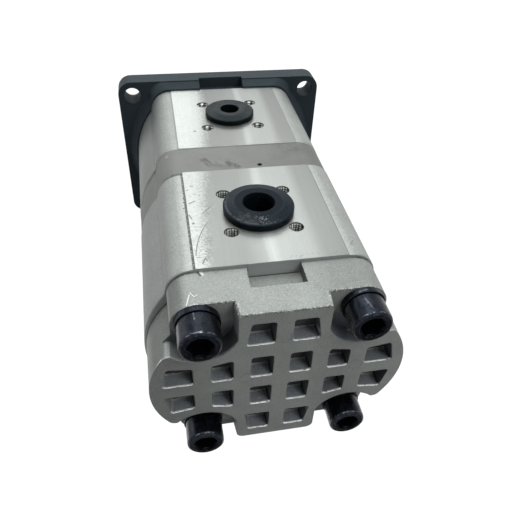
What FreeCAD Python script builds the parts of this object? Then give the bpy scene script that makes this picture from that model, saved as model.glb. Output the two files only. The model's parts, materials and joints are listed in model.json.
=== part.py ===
import FreeCAD, Part
import math
import os
import Sketcher

# Tandem external gear pump. X across, Y along the drive shaft towards its free end, Z up.
# The origin is the centre of the mounting pilot on the face of the flange.

os.makedirs("parts", exist_ok=True)
doc = FreeCAD.newDocument("pump")
sheet = doc.addObject("Spreadsheet::Sheet", "Sizes")
V = FreeCAD.Vector

# Driving sizes, in millimetres and degrees
TABLE = [
    ("flange_span_wide", 100.0),
    ("flange_span_high", 72.0),
    ("flange_margin_wide", 7.8),
    ("flange_margin_high", 7.65),
    ("flange_thick", 11.4),
    ("flange_round", 7.5),
    ("flange_edge", 1.2),
    ("flange_hole_dia", 9.0),
    ("pilot_dia", 80.0),
    ("pilot_rise", 7.0),
    ("pilot_bevel", 1.0),
    ("shaft_offset", 15.5),
    ("front_cover_len", 16.4),
    ("plate_len", 20.8),
    ("rear_cover_len", 22.8),
    ("side_wall", 16.75),
    ("bulge_radius", 46.0),
    ("port_half_wide", 28.7),
    ("port_step", 0.4),
    ("waist_round", 4.5),
    ("plate_step", 0.2),
    ("boss_flare", 4.6),
    ("boss_lip", 0.8),
    ("boss_drop", 0.5),
    ("cover_step", 0.8),
    ("cover_bulge", 35.6),
    ("cover_round", 9.5),
    ("cover_inset", 0.5),
    ("cover_drop", 1.2),
    ("cover_draft", 0.7),
    ("bolt_across", 29.9),
    ("bolt_high", 30.5),
    ("bolt_wall_side", 10.3),
    ("bolt_wall_top", 9.2),
    ("bolt_clear_dia", 11.0),
    ("bolt_dia", 10.0),
    ("bolt_bite", 12.4),
    ("bolt_head_dia", 15.0),
    ("bolt_head_high", 10.0),
    ("bolt_socket", 8.3),
    ("bolt_socket_deep", 5.2),
    ("washer_dia", 16.2),
    ("washer_thick", 2.5),
    ("seat_depth", 7.0),
    ("recess_radius", 14.2),
    ("recess_draft", 6.0),
    ("hub_gap", 13.4),
    ("recess_drop", 9.7),
    ("casting_round", 3.0),
    ("hub_round", 1.4),
    ("hub_foot_round", 3.0),
    ("rib_half", 3.1),
    ("web", 6.5),
    ("cell_wide", 8.4),
    ("cell_high", 11.8),
    ("cell_depth", 6.2),
    ("cell_draft", 5.0),
    ("cell_round", 1.2),
    ("rim_wall", 4.9),
    ("notch_half", 10.25),
    ("notch_len", 10.3),
    ("notch_deep", 4.8),
    ("front_notch_half", 12.3),
    ("front_notch_len", 7.8),
    ("front_notch_deep", 6.0),
    ("port_pitch", 25.7),
    ("port_screw_dia", 6.0),
    ("port_screw_deep", 14.0),
    ("rear_port_dia", 20.0),
    ("front_port_dia", 15.0),
    ("leak_hole_dia", 2.2),
    ("leak_hole_deep", 6.0),
    ("leak_hole_across", 7.0),
    ("leak_hole_wall", 2.0),
    ("tooth_count", 12),
    ("pressure_angle", 25.0),
    ("backlash", 0.12),
    ("tip_gap", 0.067),
    ("gear_width", 24.9),
    ("block_len", 19.2),
    ("end_play", 0.1),
    ("fit_gap", 0.02),
    ("running_gap", 0.03),
    ("journal_dia", 18.0),
    ("liner_wall", 1.2),
    ("liner_inset", 0.5),
    ("relief_half", 4.5),
    ("relief_low", 3.0),
    ("relief_deep", 2.5),
    ("lobe_in", 12.4),
    ("lobe_out", 16.1),
    ("lobe_rubber", 1.25),
    ("lobe_backup", 0.9),
    ("groove_wall", 3.25),
    ("groove_wide", 2.6),
    ("groove_deep", 1.9),
    ("dowel_wall", 2.2),
    ("dowel_dia", 5.0),
    ("dowel_half", 6.0),
    ("passage_dia", 20.0),
    ("seal_dia", 32.0),
    ("seal_len", 7.2),
    ("seal_floor", 3.2),
    ("clip_thick", 1.1),
    ("clip_bite", 1.0),
    ("clip_wide", 2.7),
    ("taper_start", 9.0),
    ("taper_len", 17.5),
    ("thread_len", 13.5),
    ("thread_dia", 12.0),
    ("key_wide", 3.0),
    ("key_dia", 16.0),
    ("key_high", 6.5),
    ("key_stand", 2.3),
    ("nut_flats", 18.0),
    ("nut_high", 7.0),
    ("nut_gap", 5.0),
    ("nut_washer_thick", 2.5),
    ("spline_core_dia", 12.0),
    ("spline_tip_dia", 15.2),
    ("spline_wide", 3.4),
    ("sleeve_wall", 3.0),
    ("rear_plug_dia", 29.0),
    ("rear_plug_hole", 13.2),
    ("rear_plug_crown", 20.4),
    ("rear_plug_edge", 3.0),
    ("rear_plug_rise", 4.0),
    ("front_plug_dia", 25.0),
    ("front_plug_hole", 9.6),
    ("front_plug_crown", 15.6),
    ("front_plug_edge", 2.6),
    ("front_plug_rise", 3.4),
    ("plug_stem", 12.0),
    ("plug_floor", 2.4),
]

for row, (alias, number) in enumerate(TABLE, 1):
    sheet.set("A%d" % row, alias)
    sheet.set("B%d" % row, str(number))
    sheet.setAlias("B%d" % row, alias)
doc.recompute()


class Size:
    """A number that keeps the sheet formula it came from."""

    def __init__(self, value, text, fixed=False):
        self.value = float(value)
        self.text = text
        self.fixed = fixed

    def mix(self, other, sign, swap=False):
        other = as_size(other)
        one, two = (other, self) if swap else (self, other)
        result = {
            "+": lambda a, b: a + b,
            "-": lambda a, b: a - b,
            "*": lambda a, b: a * b,
            "/": lambda a, b: a / b,
        }[sign](one.value, two.value)
        text = "(%s %s %s)" % (one.text, sign, two.text)
        return Size(result, text, one.fixed and two.fixed)

    def __add__(self, other):
        return self.mix(other, "+")

    def __radd__(self, other):
        return self.mix(other, "+", True)

    def __sub__(self, other):
        return self.mix(other, "-")

    def __rsub__(self, other):
        return self.mix(other, "-", True)

    def __mul__(self, other):
        return self.mix(other, "*")

    def __rmul__(self, other):
        return self.mix(other, "*", True)

    def __truediv__(self, other):
        return self.mix(other, "/")

    def __neg__(self):
        return self.mix(0.0, "-", True)


def as_size(item):
    if isinstance(item, Size):
        return item
    return Size(item, "(%.9f)" % item, True)


def root(item):
    return Size(math.sqrt(item.value), "sqrt(%s)" % item.text, item.fixed)


def S(alias):
    return Size(sheet.get(alias), "Sizes." + alias)


def drive(item, path, size):
    """Bind one property to the sheet."""
    size = as_size(size)
    if not size.fixed:
        item.setExpression(path, size.text)


class Drawing:
    """A sketch on one of a body's own planes, with every point placed from the sheet."""

    def __init__(self, body, plane, name, lift=0.0, across=0.0, along=0.0):
        support = [item for item in body.Origin.OriginFeatures if item.Role == plane][0]
        self.sketch = body.newObject("Sketcher::SketchObject", name)
        self.sketch.AttachmentSupport = (support, [""])
        self.sketch.MapMode = "FlatFace"
        lift, across, along = as_size(lift), as_size(across), as_size(along)
        self.sketch.AttachmentOffset = FreeCAD.Placement(
            V(across.value, along.value, lift.value), FreeCAD.Rotation())
        drive(self.sketch, "AttachmentOffset.Base.z", lift)
        drive(self.sketch, "AttachmentOffset.Base.x", across)
        drive(self.sketch, "AttachmentOffset.Base.y", along)
        self.shapes = []
        self.rules = []
        self.links = []

    def rule(self, *parts, size=None):
        self.rules.append(Sketcher.Constraint(*parts))
        if size is not None and not size.fixed:
            self.links.append((len(self.rules) - 1, size.text))

    def pin(self, shape, end, x, y):
        for kind, axis, size in (("DistanceX", -2, as_size(x)), ("DistanceY", -1, as_size(y))):
            if abs(size.value) < 1e-9:
                self.rule("PointOnObject", shape, end, axis)
            elif size.value > 0:
                self.rule(kind, -1, 1, shape, end, size.value, size=size)
            else:
                size = -size
                self.rule(kind, shape, end, -1, 1, size.value, size=size)

    def circle(self, x, y, radius):
        x, y, radius = as_size(x), as_size(y), as_size(radius)
        shape = len(self.shapes)
        self.shapes.append(Part.Circle(V(x.value, y.value, 0), V(0, 0, 1), radius.value))
        self.pin(shape, 3, x, y)
        self.rule("Radius", shape, radius.value, size=radius)
        return self

    def loop(self, points, rounds=None):
        """A closed outline. rounds gives an edge its radius; the sign is the way it turns."""
        rounds = rounds or {}
        points = [(as_size(x), as_size(y)) for x, y in points]
        count = len(points)
        first = len(self.shapes)
        ends = []
        for n in range(count):
            (ax, ay), (bx, by) = points[n], points[(n + 1) % count]
            if n not in rounds:
                self.shapes.append(Part.LineSegment(V(ax.value, ay.value, 0), V(bx.value, by.value, 0)))
                ends.append((1, 2))
                continue
            radius, turn = rounds[n]
            radius = as_size(radius)
            dx, dy = bx.value - ax.value, by.value - ay.value
            length = math.hypot(dx, dy)
            high = math.sqrt(max(radius.value ** 2 - length ** 2 / 4, 0.0))
            mid_x = (ax.value + bx.value) / 2 - turn * high * dy / length
            mid_y = (ay.value + by.value) / 2 + turn * high * dx / length
            start = math.atan2(ay.value - mid_y, ax.value - mid_x)
            stop = math.atan2(by.value - mid_y, bx.value - mid_x)
            if turn < 0:
                start, stop = stop, start
            if stop < start:
                stop += 2 * math.pi
            circle = Part.Circle(V(mid_x, mid_y, 0), V(0, 0, 1), radius.value)
            self.shapes.append(Part.ArcOfCircle(circle, start, stop))
            ends.append((1, 2) if turn > 0 else (2, 1))
            self.rule("Radius", first + n, radius.value, size=radius)
        for n in range(count):
            before = (n - 1) % count
            self.pin(first + n, ends[n][0], points[n][0], points[n][1])
            self.rule("Coincident", first + before, ends[before][1], first + n, ends[n][0])
        return self

    def done(self):
        self.sketch.addGeometry(self.shapes, False)
        self.sketch.addConstraint(self.rules)
        for number, text in self.links:
            self.sketch.setExpression("Constraints[%d]" % number, text)
        return self.sketch


NODES = {}


def new_body(label, x=0.0, y=0.0, z=0.0, spin=0.0):
    """A named piece, placed in the row frame from the sheet. spin turns it about Z."""
    body = doc.addObject("PartDesign::Body", label)
    body.Label = label
    body.AllowCompound = True
    place(body, x, y, z, spin)
    NODES[label] = body
    return body


def place(item, x, y, z, spin=0.0):
    x, y, z = as_size(x), as_size(y), as_size(z)
    item.Placement = FreeCAD.Placement(V(x.value, y.value, z.value), FreeCAD.Rotation(V(0, 0, 1), spin))
    drive(item, "Placement.Base.x", x)
    drive(item, "Placement.Base.y", y)
    drive(item, "Placement.Base.z", z)


def grow(body, drawing, length, name, forward=False, taper=None, kind="Pad"):
    """Raise or sink a sketch by a length. Sketches across the shaft rise towards the rear."""
    item = body.newObject("PartDesign::" + kind, name)
    item.Profile = drawing.done()
    length = as_size(length)
    item.Length = length.value
    drive(item, "Length", length)
    item.Reversed = forward
    if taper is not None:
        item.TaperAngle = taper.value
        drive(item, "TaperAngle", taper)
    drawing.sketch.Visibility = False
    return item


def cut(body, drawing, length, name, backward=False, taper=None):
    return grow(body, drawing, length, name, backward, taper, "Pocket")


def turn(body, drawing, name, kind="Revolution"):
    item = body.newObject("PartDesign::" + kind, name)
    item.Profile = drawing.done()
    item.ReferenceAxis = (drawing.sketch, ["V_Axis"])
    item.Angle = 360.0
    drawing.sketch.Visibility = False
    return item


def mirror(body, originals, name, planes):
    """Repeat features across one or two of the body's own planes."""
    item = body.newObject("PartDesign::MultiTransform", name)
    item.Originals = originals
    steps = []
    for plane in planes:
        step = body.newObject("PartDesign::Mirrored", name + "_" + plane[:2])
        step.MirrorPlane = ([part for part in body.Origin.OriginFeatures if part.Role == plane][0], [""])
        steps.append(step)
    item.Transformations = steps
    body.Tip = item
    return item


def smooth(body, base, radius, name, test, kind="Fillet"):
    """Round or bevel the edges of the last feature that pass a test on their middle point."""
    doc.recompute()
    names = []
    for number, edge in enumerate(base.Shape.Edges, 1):
        middle = edge.valueAt((edge.FirstParameter + edge.LastParameter) / 2)
        if test(edge, middle):
            names.append("Edge%d" % number)
    if not names:
        raise RuntimeError("no edges for " + name)
    item = body.newObject("PartDesign::" + kind, name)
    item.Base = (base, names)
    item.setExpression("Radius" if kind == "Fillet" else "Size", radius.text)
    body.Tip = item
    return item


def near(one, two, within=0.01):
    return abs(one - two) < within


def runs_along(edge, axis):
    if len(edge.Vertexes) < 2:
        return False
    step = edge.Vertexes[1].Point - edge.Vertexes[0].Point
    return abs(step.normalize().dot(axis)) > 0.98


# Gears: pitch, module and the bore that clears the tips
pitch = S("shaft_offset")
module = pitch * 2 / S("tooth_count")
gear_bore = pitch + module + S("tip_gap")
groove_in = gear_bore + S("groove_wall")
groove_out = groove_in + S("groove_wide")
dowel_across = pitch + groove_out + S("dowel_wall") + S("dowel_dia") / 2

# Outlines across the shaft
flange_half_w = S("flange_span_wide") / 2 + S("flange_margin_wide")
flange_half_h = S("flange_span_high") / 2 + S("flange_margin_high")
body_half = pitch + gear_bore + S("side_wall")
bulge_centre = body_half - S("bulge_radius")
waist_half = S("bolt_across") + S("bolt_wall_side")
shoulder_top = S("bolt_high") + S("bolt_wall_top")
port_top = shoulder_top + S("port_step")
cover_half = body_half - S("cover_step")
cover_top = shoulder_top - S("cover_drop")

# Places along the shaft, measured back from the flange face. The gear and its two blocks set a body's length
body_len = S("gear_width") + S("block_len") * 2 + S("end_play")
front_joint = S("front_cover_len")
plate_joint = front_joint + body_len
plate_end = plate_joint + S("plate_len")
rear_joint = plate_end + body_len
rear_face = rear_joint + S("rear_cover_len")
seat = rear_face - S("seat_depth")
centre = -S("shaft_offset")

bx, bz = S("bolt_across"), S("bolt_high")
CORNERS = [(1, 1), (-1, 1), (-1, -1), (1, -1)]


def four(drawing, x, y, radius):
    for across, up in CORNERS:
        drawing.circle(x * across, y * up, radius)
    return drawing


def quarters(points, arcs):
    """Mirror a top right quarter, given from the top round to the side, into a full outline.

    The last point lies on the side, at height nought. arcs gives the edges that are round.
    """
    rounds = {}
    full = []
    count = len(points)
    one = list(points)
    two = [(x, -z) for x, z in reversed(points[:-1])]
    three = [(-x, -z) for x, z in points]
    last = [(-x, z) for x, z in reversed(points[:-1])]
    full = one + two + three + last
    for edge, (radius, way) in arcs.items():
        rounds[edge] = (radius, way)
        rounds[2 * (count - 1) - 1 - edge] = (radius, way)
        rounds[2 * count - 1 + edge] = (radius, way)
        rounds[2 * count - 1 + 2 * (count - 1) - 1 - edge] = (radius, way)
    return full, rounds


def waist_point(grown=0.0, side=0.0):
    """Where a shoulder of the bodies runs into the bulge."""
    bulge = S("bulge_radius") + grown
    waist = waist_half + side
    reach = waist - bulge_centre
    return waist, root(bulge * bulge - reach * reach)


def body_outline(drawing, grown=0.0, side=0.0, top=None):
    """The outline of the pump bodies. grown widens the bulge, side the shoulders."""
    bulge = S("bulge_radius") + grown
    waist, waist_high = waist_point(grown, side)
    high = shoulder_top if top is None else top
    round_ = high - waist_high
    points = []
    if top is None:
        points += [(S("port_half_wide"), port_top), (S("port_half_wide"), high)]
    points += [(waist - round_, high), (waist, waist_high), (bulge_centre + bulge, as_size(0.0))]
    start = len(points) - 3
    full, rounds = quarters(points, {start: (round_, -1), start + 1: (bulge, -1)})
    return drawing.loop(full, rounds)


def soften_waist(body, base, name, corner):
    """Round the four inward corners where the shoulders run into the bulge."""
    x, z = corner

    def inward(edge, p):
        return runs_along(edge, V(0, 1, 0)) and near(abs(p.x), x.value) and near(abs(p.z), z.value)

    return smooth(body, base, S("waist_round"), name, inward)


def cover_outline(drawing, top):
    """The outline of the rear cover."""
    bulge = S("cover_bulge")
    waist = waist_half - S("cover_inset")
    reach = waist - cover_half + bulge
    waist_high = root(bulge * bulge - reach * reach)
    round_ = S("cover_round")
    points = [
        (waist - round_, top),
        (waist, top - round_),
        (waist, waist_high),
        (cover_half, as_size(0.0)),
    ]
    full, rounds = quarters(points, {0: (round_, -1), 2: (bulge, -1)})
    return drawing.loop(full, rounds)


def stadium(drawing, radius):
    """An outline round both gear bores."""
    half = S("shaft_offset")
    points = [
        (half, radius), (half + radius, as_size(0.0)), (half, -radius),
        (-half, -radius), (-half - radius, as_size(0.0)), (-half, radius),
    ]
    return drawing.loop(points, {0: (radius, -1), 1: (radius, -1), 3: (radius, -1), 4: (radius, -1)})


def eight(drawing, radius):
    """The outline of two gear bores that run into each other."""
    half = S("shaft_offset")
    neck = root(radius * radius - half * half)
    zero = as_size(0.0)
    points = [
        (zero, neck), (half, radius), (half + radius, zero), (half, -radius),
        (zero, -neck), (-half, -radius), (-half - radius, zero), (-half, radius),
    ]
    return drawing.loop(points, {n: (radius, -1) for n in range(8)})


def bolt_holes(body, lift, length, name, radius=None):
    radius = radius or S("bolt_clear_dia") / 2
    return cut(body, four(Drawing(body, "XZ_Plane", name + "_plan", lift), bx, bz, radius), length, name)


def dowel_holes(body, lift, name, backward):
    plan = Drawing(body, "XZ_Plane", name + "_plan", lift)
    for way in (1, -1):
        plan.circle(dowel_across * way, 0.0, S("dowel_dia") / 2 + S("fit_gap") / 2)
    return cut(body, plan, S("dowel_half") + 0.3, name, backward)


def seal_groove(body, lift, name, backward):
    plan = Drawing(body, "XZ_Plane", name + "_plan", lift)
    stadium(plan, groove_out)
    stadium(plan, groove_in)
    return cut(body, plan, S("groove_deep"), name, backward)


def box_loop(plan, left, low, right, high):
    return plan.loop([(left, low), (right, low), (right, high), (left, high)])


# Front cover: flange, flared boss, pilot, seal housing and threaded blind holes for the through bolts
cover = new_body("front_cover", centre)
half_w, half_h, r = flange_half_w, flange_half_h, S("flange_round")
plan = Drawing(cover, "XZ_Plane", "flange_plan")
points, rounds = quarters([(half_w - r, half_h), (half_w, half_h - r), (half_w, as_size(0.0))], {0: (r, -1)})
plan.loop(points, rounds)
flange = grow(cover, plan, S("flange_thick"), "flange")


def flange_rim(edge, p):
    """The edges and corners of the flange's front face."""
    return near(p.y, 0.0)


def pilot_rim(edge, p):
    """The front edge of the pilot."""
    return near(p.y, S("pilot_rise").value)


smooth(cover, flange, S("flange_edge"), "flange_edge", flange_rim)
boss_root = body_outline(Drawing(cover, "XZ_Plane", "boss_root", S("flange_thick")),
                         S("boss_flare"), S("boss_flare") / 6, half_h - S("boss_drop"))
boss_end = body_outline(Drawing(cover, "XZ_Plane", "boss_end", front_joint), S("boss_lip"),
                        S("boss_lip") / 6, port_top + S("boss_lip"))
boss = cover.newObject("PartDesign::AdditiveLoft", "boss")
boss.Profile = boss_root.done()
boss.Sections = [boss_end.done()]
boss.Ruled = True
boss_root.sketch.Visibility = False
boss_end.sketch.Visibility = False
plan = Drawing(cover, "XZ_Plane", "pilot_plan").circle(pitch, 0.0, S("pilot_dia") / 2)
pilot = grow(cover, plan, S("pilot_rise"), "pilot", forward=True)
smooth(cover, pilot, S("pilot_bevel"), "pilot_edge", pilot_rim, "Chamfer")
plan = Drawing(cover, "XZ_Plane", "flange_hole_plan")
four(plan, S("flange_span_wide") / 2, S("flange_span_high") / 2, S("flange_hole_dia") / 2)
cut(cover, plan, front_joint, "flange_holes", backward=True)
seal_r = S("seal_dia") / 2
seat_r = seal_r + S("fit_gap")
passage = S("passage_dia") / 2
seal_front = S("seal_len") - S("seal_floor")
clip_back = seal_front + 0.3
clip_front = clip_back + S("clip_thick") + 0.2
mouth = S("pilot_rise")
plan = Drawing(cover, "XY_Plane", "seal_housing_plan", 0.0, pitch)
plan.loop([
    (0.0, -front_joint - 1.0), (passage, -front_joint - 1.0), (passage, -S("seal_floor")),
    (seat_r, -S("seal_floor")), (seat_r, clip_back), (seal_r + S("clip_bite"), clip_back),
    (seal_r + S("clip_bite"), clip_front), (seat_r, clip_front), (seat_r, mouth - S("pilot_bevel")),
    (seat_r + S("pilot_bevel"), mouth), (seat_r + S("pilot_bevel"), mouth + 2.0), (0.0, mouth + 2.0),
])
turn(cover, plan, "seal_housing", "Groove")
bolt_holes(cover, front_joint, S("bolt_bite") + 1.0, "bolt_threads", S("bolt_dia") / 2 + S("fit_gap"))
dowel_holes(cover, front_joint, "dowel_holes", False)
seal_groove(cover, front_joint, "seal_groove", False)
plan = Drawing(cover, "XZ_Plane", "notch_plan", front_joint)
box_loop(plan, -S("front_notch_half"), half_h - S("front_notch_deep"), S("front_notch_half"), half_h + 5)
cut(cover, plan, S("front_notch_len"), "notch")



def pump_body(label, front, port_dia, number):
    """An extruded body with two gear bores, ports on top and bottom and four screw holes a port."""
    body = new_body(label, centre, -front)
    plan = body_outline(Drawing(body, "XZ_Plane", "profile" + number))
    solid = grow(body, plan, body_len, "extrusion" + number)
    soften_waist(body, solid, "waist" + number, waist_point())
    end = body_len
    cut(body, eight(Drawing(body, "XZ_Plane", "gear_bore_plan" + number, end), gear_bore), end,
        "gear_bores" + number)
    bolt_holes(body, end, end, "bolt_holes" + number)
    middle = -end / 2
    top = port_top
    plan = Drawing(body, "XY_Plane", "port_plan" + number, top).circle(0.0, middle, port_dia / 2)
    cut(body, plan, top * 2, "ports" + number)
    half = S("port_pitch") / 2
    for name, lift, down in (("top_screws", top, False), ("low_screws", -top, True)):
        plan = Drawing(body, "XY_Plane", name + "_plan" + number, lift)
        for across, along in CORNERS:
            plan.circle(half * across, middle + half * along, S("port_screw_dia") / 2)
        cut(body, plan, S("port_screw_deep"), name + number, down)
    dowel_holes(body, 0.0, "front_dowels" + number, True)
    dowel_holes(body, end, "rear_dowels" + number, False)
    return body


pump_body("front_body", front_joint, S("front_port_dia"), "_a")
pump_body("rear_body", plate_end, S("rear_port_dia"), "_b")

# Plate between the two bodies, with the coupling bore and a small leak hole
plate = new_body("middle_plate", centre, -plate_joint)
end = S("plate_len")
step = -S("plate_step")
plan = body_outline(Drawing(plate, "XZ_Plane", "plate_profile"), step, step, shoulder_top)
soften_waist(plate, grow(plate, plan, end, "plate_slab"), "plate_waist", waist_point(step, step))
sleeve_r = S("spline_tip_dia") / 2 + S("sleeve_wall")
plan = Drawing(plate, "XZ_Plane", "coupling_plan", end).circle(pitch, 0.0, sleeve_r + 0.4)
cut(plate, plan, end, "coupling_bore")
bolt_holes(plate, end, end, "plate_bolt_holes")
dowel_holes(plate, 0.0, "plate_front_dowels", True)
dowel_holes(plate, end, "plate_rear_dowels", False)
seal_groove(plate, 0.0, "plate_front_groove", True)
seal_groove(plate, end, "plate_rear_groove", False)
leak_r = S("leak_hole_dia") / 2
plan = Drawing(plate, "XY_Plane", "leak_hole_plan", shoulder_top)
plan.circle(S("leak_hole_across"), leak_r + S("leak_hole_wall") - end, leak_r)
cut(plate, plan, S("leak_hole_deep"), "leak_hole")

# Rear cover: a drafted casting with bolt recesses and a grid of cells in its rear face
rear = new_body("rear_cover", centre, -rear_joint)
end = S("rear_cover_len")
grow(rear, cover_outline(Drawing(rear, "XZ_Plane", "cover_profile"), cover_top), end, "cover_slab",
     taper=-S("cover_draft"))
plan = Drawing(rear, "XZ_Plane", "recess_plan", end)
rr = S("recess_radius")
hub, flat = bx - S("hub_gap"), bz - S("recess_drop")
wall_drop = root(rr * rr - (bx - hub) * (bx - hub))
flat_run = root(rr * rr - (bz - flat) * (bz - flat))
far = body_half + S("rear_cover_len")
for across, up in CORNERS:
    loop = [
        (hub * across, far * up), (hub * across, (bz - wall_drop) * up),
        ((bx + flat_run) * across, flat * up), (far * across, flat * up), (far * across, far * up),
    ]
    plan.loop(loop, {1: (rr, across * up)})
last = cut(rear, plan, S("seat_depth"), "bolt_recesses", taper=-S("recess_draft"))

# Each corner has four cells: two beside the middle, one by the side and one above
rib, web, wide = S("rib_half"), S("web"), S("cell_wide")
first_end = rib + wide
two = first_end + web
three = two + wide + web
low, high = rib, rib + S("cell_high")
upper = high + web + 0.4
upper_end = upper + S("cell_high") - 0.5
upper_side = hub - 2.8
side = cover_half - S("rim_wall")
quarter = [
    [(rib, low), (first_end + 0.3, low), (first_end, high), (rib, high)],
    [(two, low), (two + wide, low), (two + wide, high - 2.1), (two, high - 0.4)],
    [(three, low), (side, low), (side - 2.4, high - 1.0), (three, high - 2.5)],
    [(rib, upper), (upper_side, upper), (upper_side - 1.9, upper_end), (rib, upper_end)],
]
plan = Drawing(rear, "XZ_Plane", "cell_plan", end)
corners = []
for across, up in CORNERS:
    for shape in quarter:
        loop = [(x * across, z * up) for x, z in shape]
        plan.loop(loop)
        corners += [(x.value, z.value) for x, z in loop]
last = cut(rear, plan, S("cell_depth"), "cells", taper=-S("cell_draft"))
for name, way in (("notch_top", 1), ("notch_low", -1)):
    plan = Drawing(rear, "XZ_Plane", name + "_plan", 0.0)
    floor = cover_top - S("notch_deep")
    box_loop(plan, -S("notch_half"), floor * way, S("notch_half"), (cover_top + 6) * way)
    last = cut(rear, plan, S("notch_len"), name, backward=True)
last = bolt_holes(rear, end, end, "cover_bolt_holes")
last = dowel_holes(rear, 0.0, "cover_dowels", True)
last = seal_groove(rear, 0.0, "cover_groove", True)


def mouth_end(edge):
    """The end of an edge that lies in the rear face, if it has one there."""
    for corner in edge.Vertexes:
        if near(corner.Point.y, -end.value):
            return corner.Point
    return None


def cell_corner(edge, p):
    """An edge that runs into a cell from one of its corners."""
    tip = mouth_end(edge)
    if tip is None or near(p.y, -end.value):
        return False
    return any(math.hypot(tip.x - x, tip.z - z) < 0.4 for x, z in corners)


def side_corner(edge, p):
    """Where a recess's flat meets the drafted side."""
    tip = mouth_end(edge)
    if tip is None or not runs_along(edge, V(0, 1, 0)):
        return False
    return near(abs(tip.z), flat.value, 0.1) and abs(tip.x) > (bx + flat_run).value + 0.5


def hub_corner(edge, p, way=1):
    """Where a recess's wall meets the top of the cover, or its bottom when way is -1."""
    tip = mouth_end(edge)
    if tip is None or not runs_along(edge, V(0, 1, 0)):
        return False
    return near(abs(tip.x), hub.value, 0.1) and tip.z * way > bz.value + 2


def hub_foot(edge, p):
    """The same at the bottom, where the casting is rounder."""
    return hub_corner(edge, p, -1)


last = smooth(rear, last, S("cell_round"), "cell_corners", cell_corner)
last = smooth(rear, last, S("casting_round"), "casting_corners", side_corner)
last = smooth(rear, last, S("hub_round"), "hub_corners", hub_corner)
last = smooth(rear, last, S("hub_foot_round"), "hub_feet", hub_foot)

# Through bolts with hexagon sockets, and their split spring washers
bolts = new_body("through_bolts", centre, -seat - S("washer_thick"))
shank, head = S("bolt_dia") / 2, S("bolt_head_dia") / 2
tall = S("bolt_head_high")
reach = seat + S("washer_thick") - front_joint + S("bolt_bite")
plan = Drawing(bolts, "XY_Plane", "bolt_profile", bz, bx)
plan.loop([
    (0.0, -tall), (head - 0.9, -tall), (head - 0.25, -tall + 0.45), (head, -tall + 1.3), (head, -0.3),
    (head - 0.3, 0.0), (shank, 0.0), (shank, reach - 1.2), (shank - 1.0, reach), (0.0, reach),
])
solid = turn(bolts, plan, "bolt_turned")
plan = Drawing(bolts, "XZ_Plane", "socket_plan", tall)
flat_r = S("bolt_socket") / math.sqrt(3)
plan.loop([(bx + flat_r * math.cos(math.radians(60 * n)), bz + flat_r * math.sin(math.radians(60 * n)))
           for n in range(6)])
socket = cut(bolts, plan, S("bolt_socket_deep"), "bolt_socket_cut")
plan = Drawing(bolts, "XY_Plane", "socket_mouth", bz, bx)
wide_r, narrow_r = flat_r + 0.45, flat_r - 0.55
plan.loop([(0.0, -tall - 0.1), (wide_r, -tall - 0.1), (narrow_r, -tall + 0.9), (0.0, -tall + 0.9)])
bevel = turn(bolts, plan, "socket_bevel", "Groove")
mirror(bolts, [solid, socket, bevel], "bolt_set", ["YZ_Plane", "XY_Plane"])

washers = new_body("spring_washers", centre, -seat)
thick, outer = S("washer_thick"), S("washer_dia") / 2
plan = Drawing(washers, "XY_Plane", "washer_profile", bz, bx)
plan.loop([
    (shank + 0.15, -thick), (outer - 0.2, -thick), (outer, -thick + 0.2), (outer, -0.2),
    (outer - 0.2, 0.0), (shank + 0.15, 0.0),
])
ring = turn(washers, plan, "washer_ring")
plan = Drawing(washers, "XY_Plane", "split_plan", bz - outer - 1, bx)
plan.loop([(-1.6, 0.5), (-0.2, 0.5), (1.6, -thick - 0.5), (0.2, -thick - 0.5)])
split = cut(washers, plan, outer + 1 - shank, "washer_split", backward=True)
mirror(washers, [ring, split], "washer_set", ["YZ_Plane", "XY_Plane"])

# Shaft seal and its circlip, in the pilot
oil_seal = new_body("shaft_seal", 0.0, -S("seal_floor"))
lip = S("journal_dia") / 2 + S("running_gap")
long = S("seal_len")
plan = Drawing(oil_seal, "XY_Plane", "seal_profile")
plan.loop([
    (lip, 2.4), (lip + 0.5, 0.4), (lip + 1.2, S("fit_gap")), (seal_r - 0.6, S("fit_gap")), (seal_r, 0.6),
    (seal_r, long - 0.6), (seal_r - 0.6, long), (seal_r - 2.2, long), (seal_r - 2.4, 1.8), (lip + 2.2, 1.8),
    (lip + 1.9, 4.6), (lip + 0.9, 4.6),
])
turn(oil_seal, plan, "seal_ring")

clip = new_body("seal_circlip", 0.0, clip_front - 0.1)
thin = S("clip_thick")
outer = seal_r + S("clip_bite") - 0.1
inner = outer - S("clip_wide")
plan = Drawing(clip, "XZ_Plane", "clip_plan").circle(0.0, 0.0, outer).circle(0.0, 0.0, inner)
grow(clip, plan, thin, "clip_ring")
plan = Drawing(clip, "XZ_Plane", "clip_gap_plan", thin)
box_loop(plan, -4.2, -outer - 2, 4.2, 3 - inner)
cut(clip, plan, thin, "clip_gap")
for name, way in (("left", -1), ("right", 1)):
    lug = Drawing(clip, "XZ_Plane", "clip_lug_" + name).circle(5.6 * way, 1.3 - inner, 2.3)
    grow(clip, lug, thin, "clip_ear_" + name)
for name, way in (("left", -1), ("right", 1)):
    hole = Drawing(clip, "XZ_Plane", "clip_eye_plan_" + name, thin).circle(5.6 * way, 1.5 - inner, 1.0)
    cut(clip, hole, thin, "clip_eye_" + name)

# Bearing blocks with their liners and pressure seals, one set at each end of each pair of gears
SECTIONS = [
    ("front_section_front", front_joint, 0.0),
    ("front_section_rear", plate_joint, 180.0),
    ("rear_section_front", plate_end, 0.0),
    ("rear_section_rear", rear_joint, 180.0),
]


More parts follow.
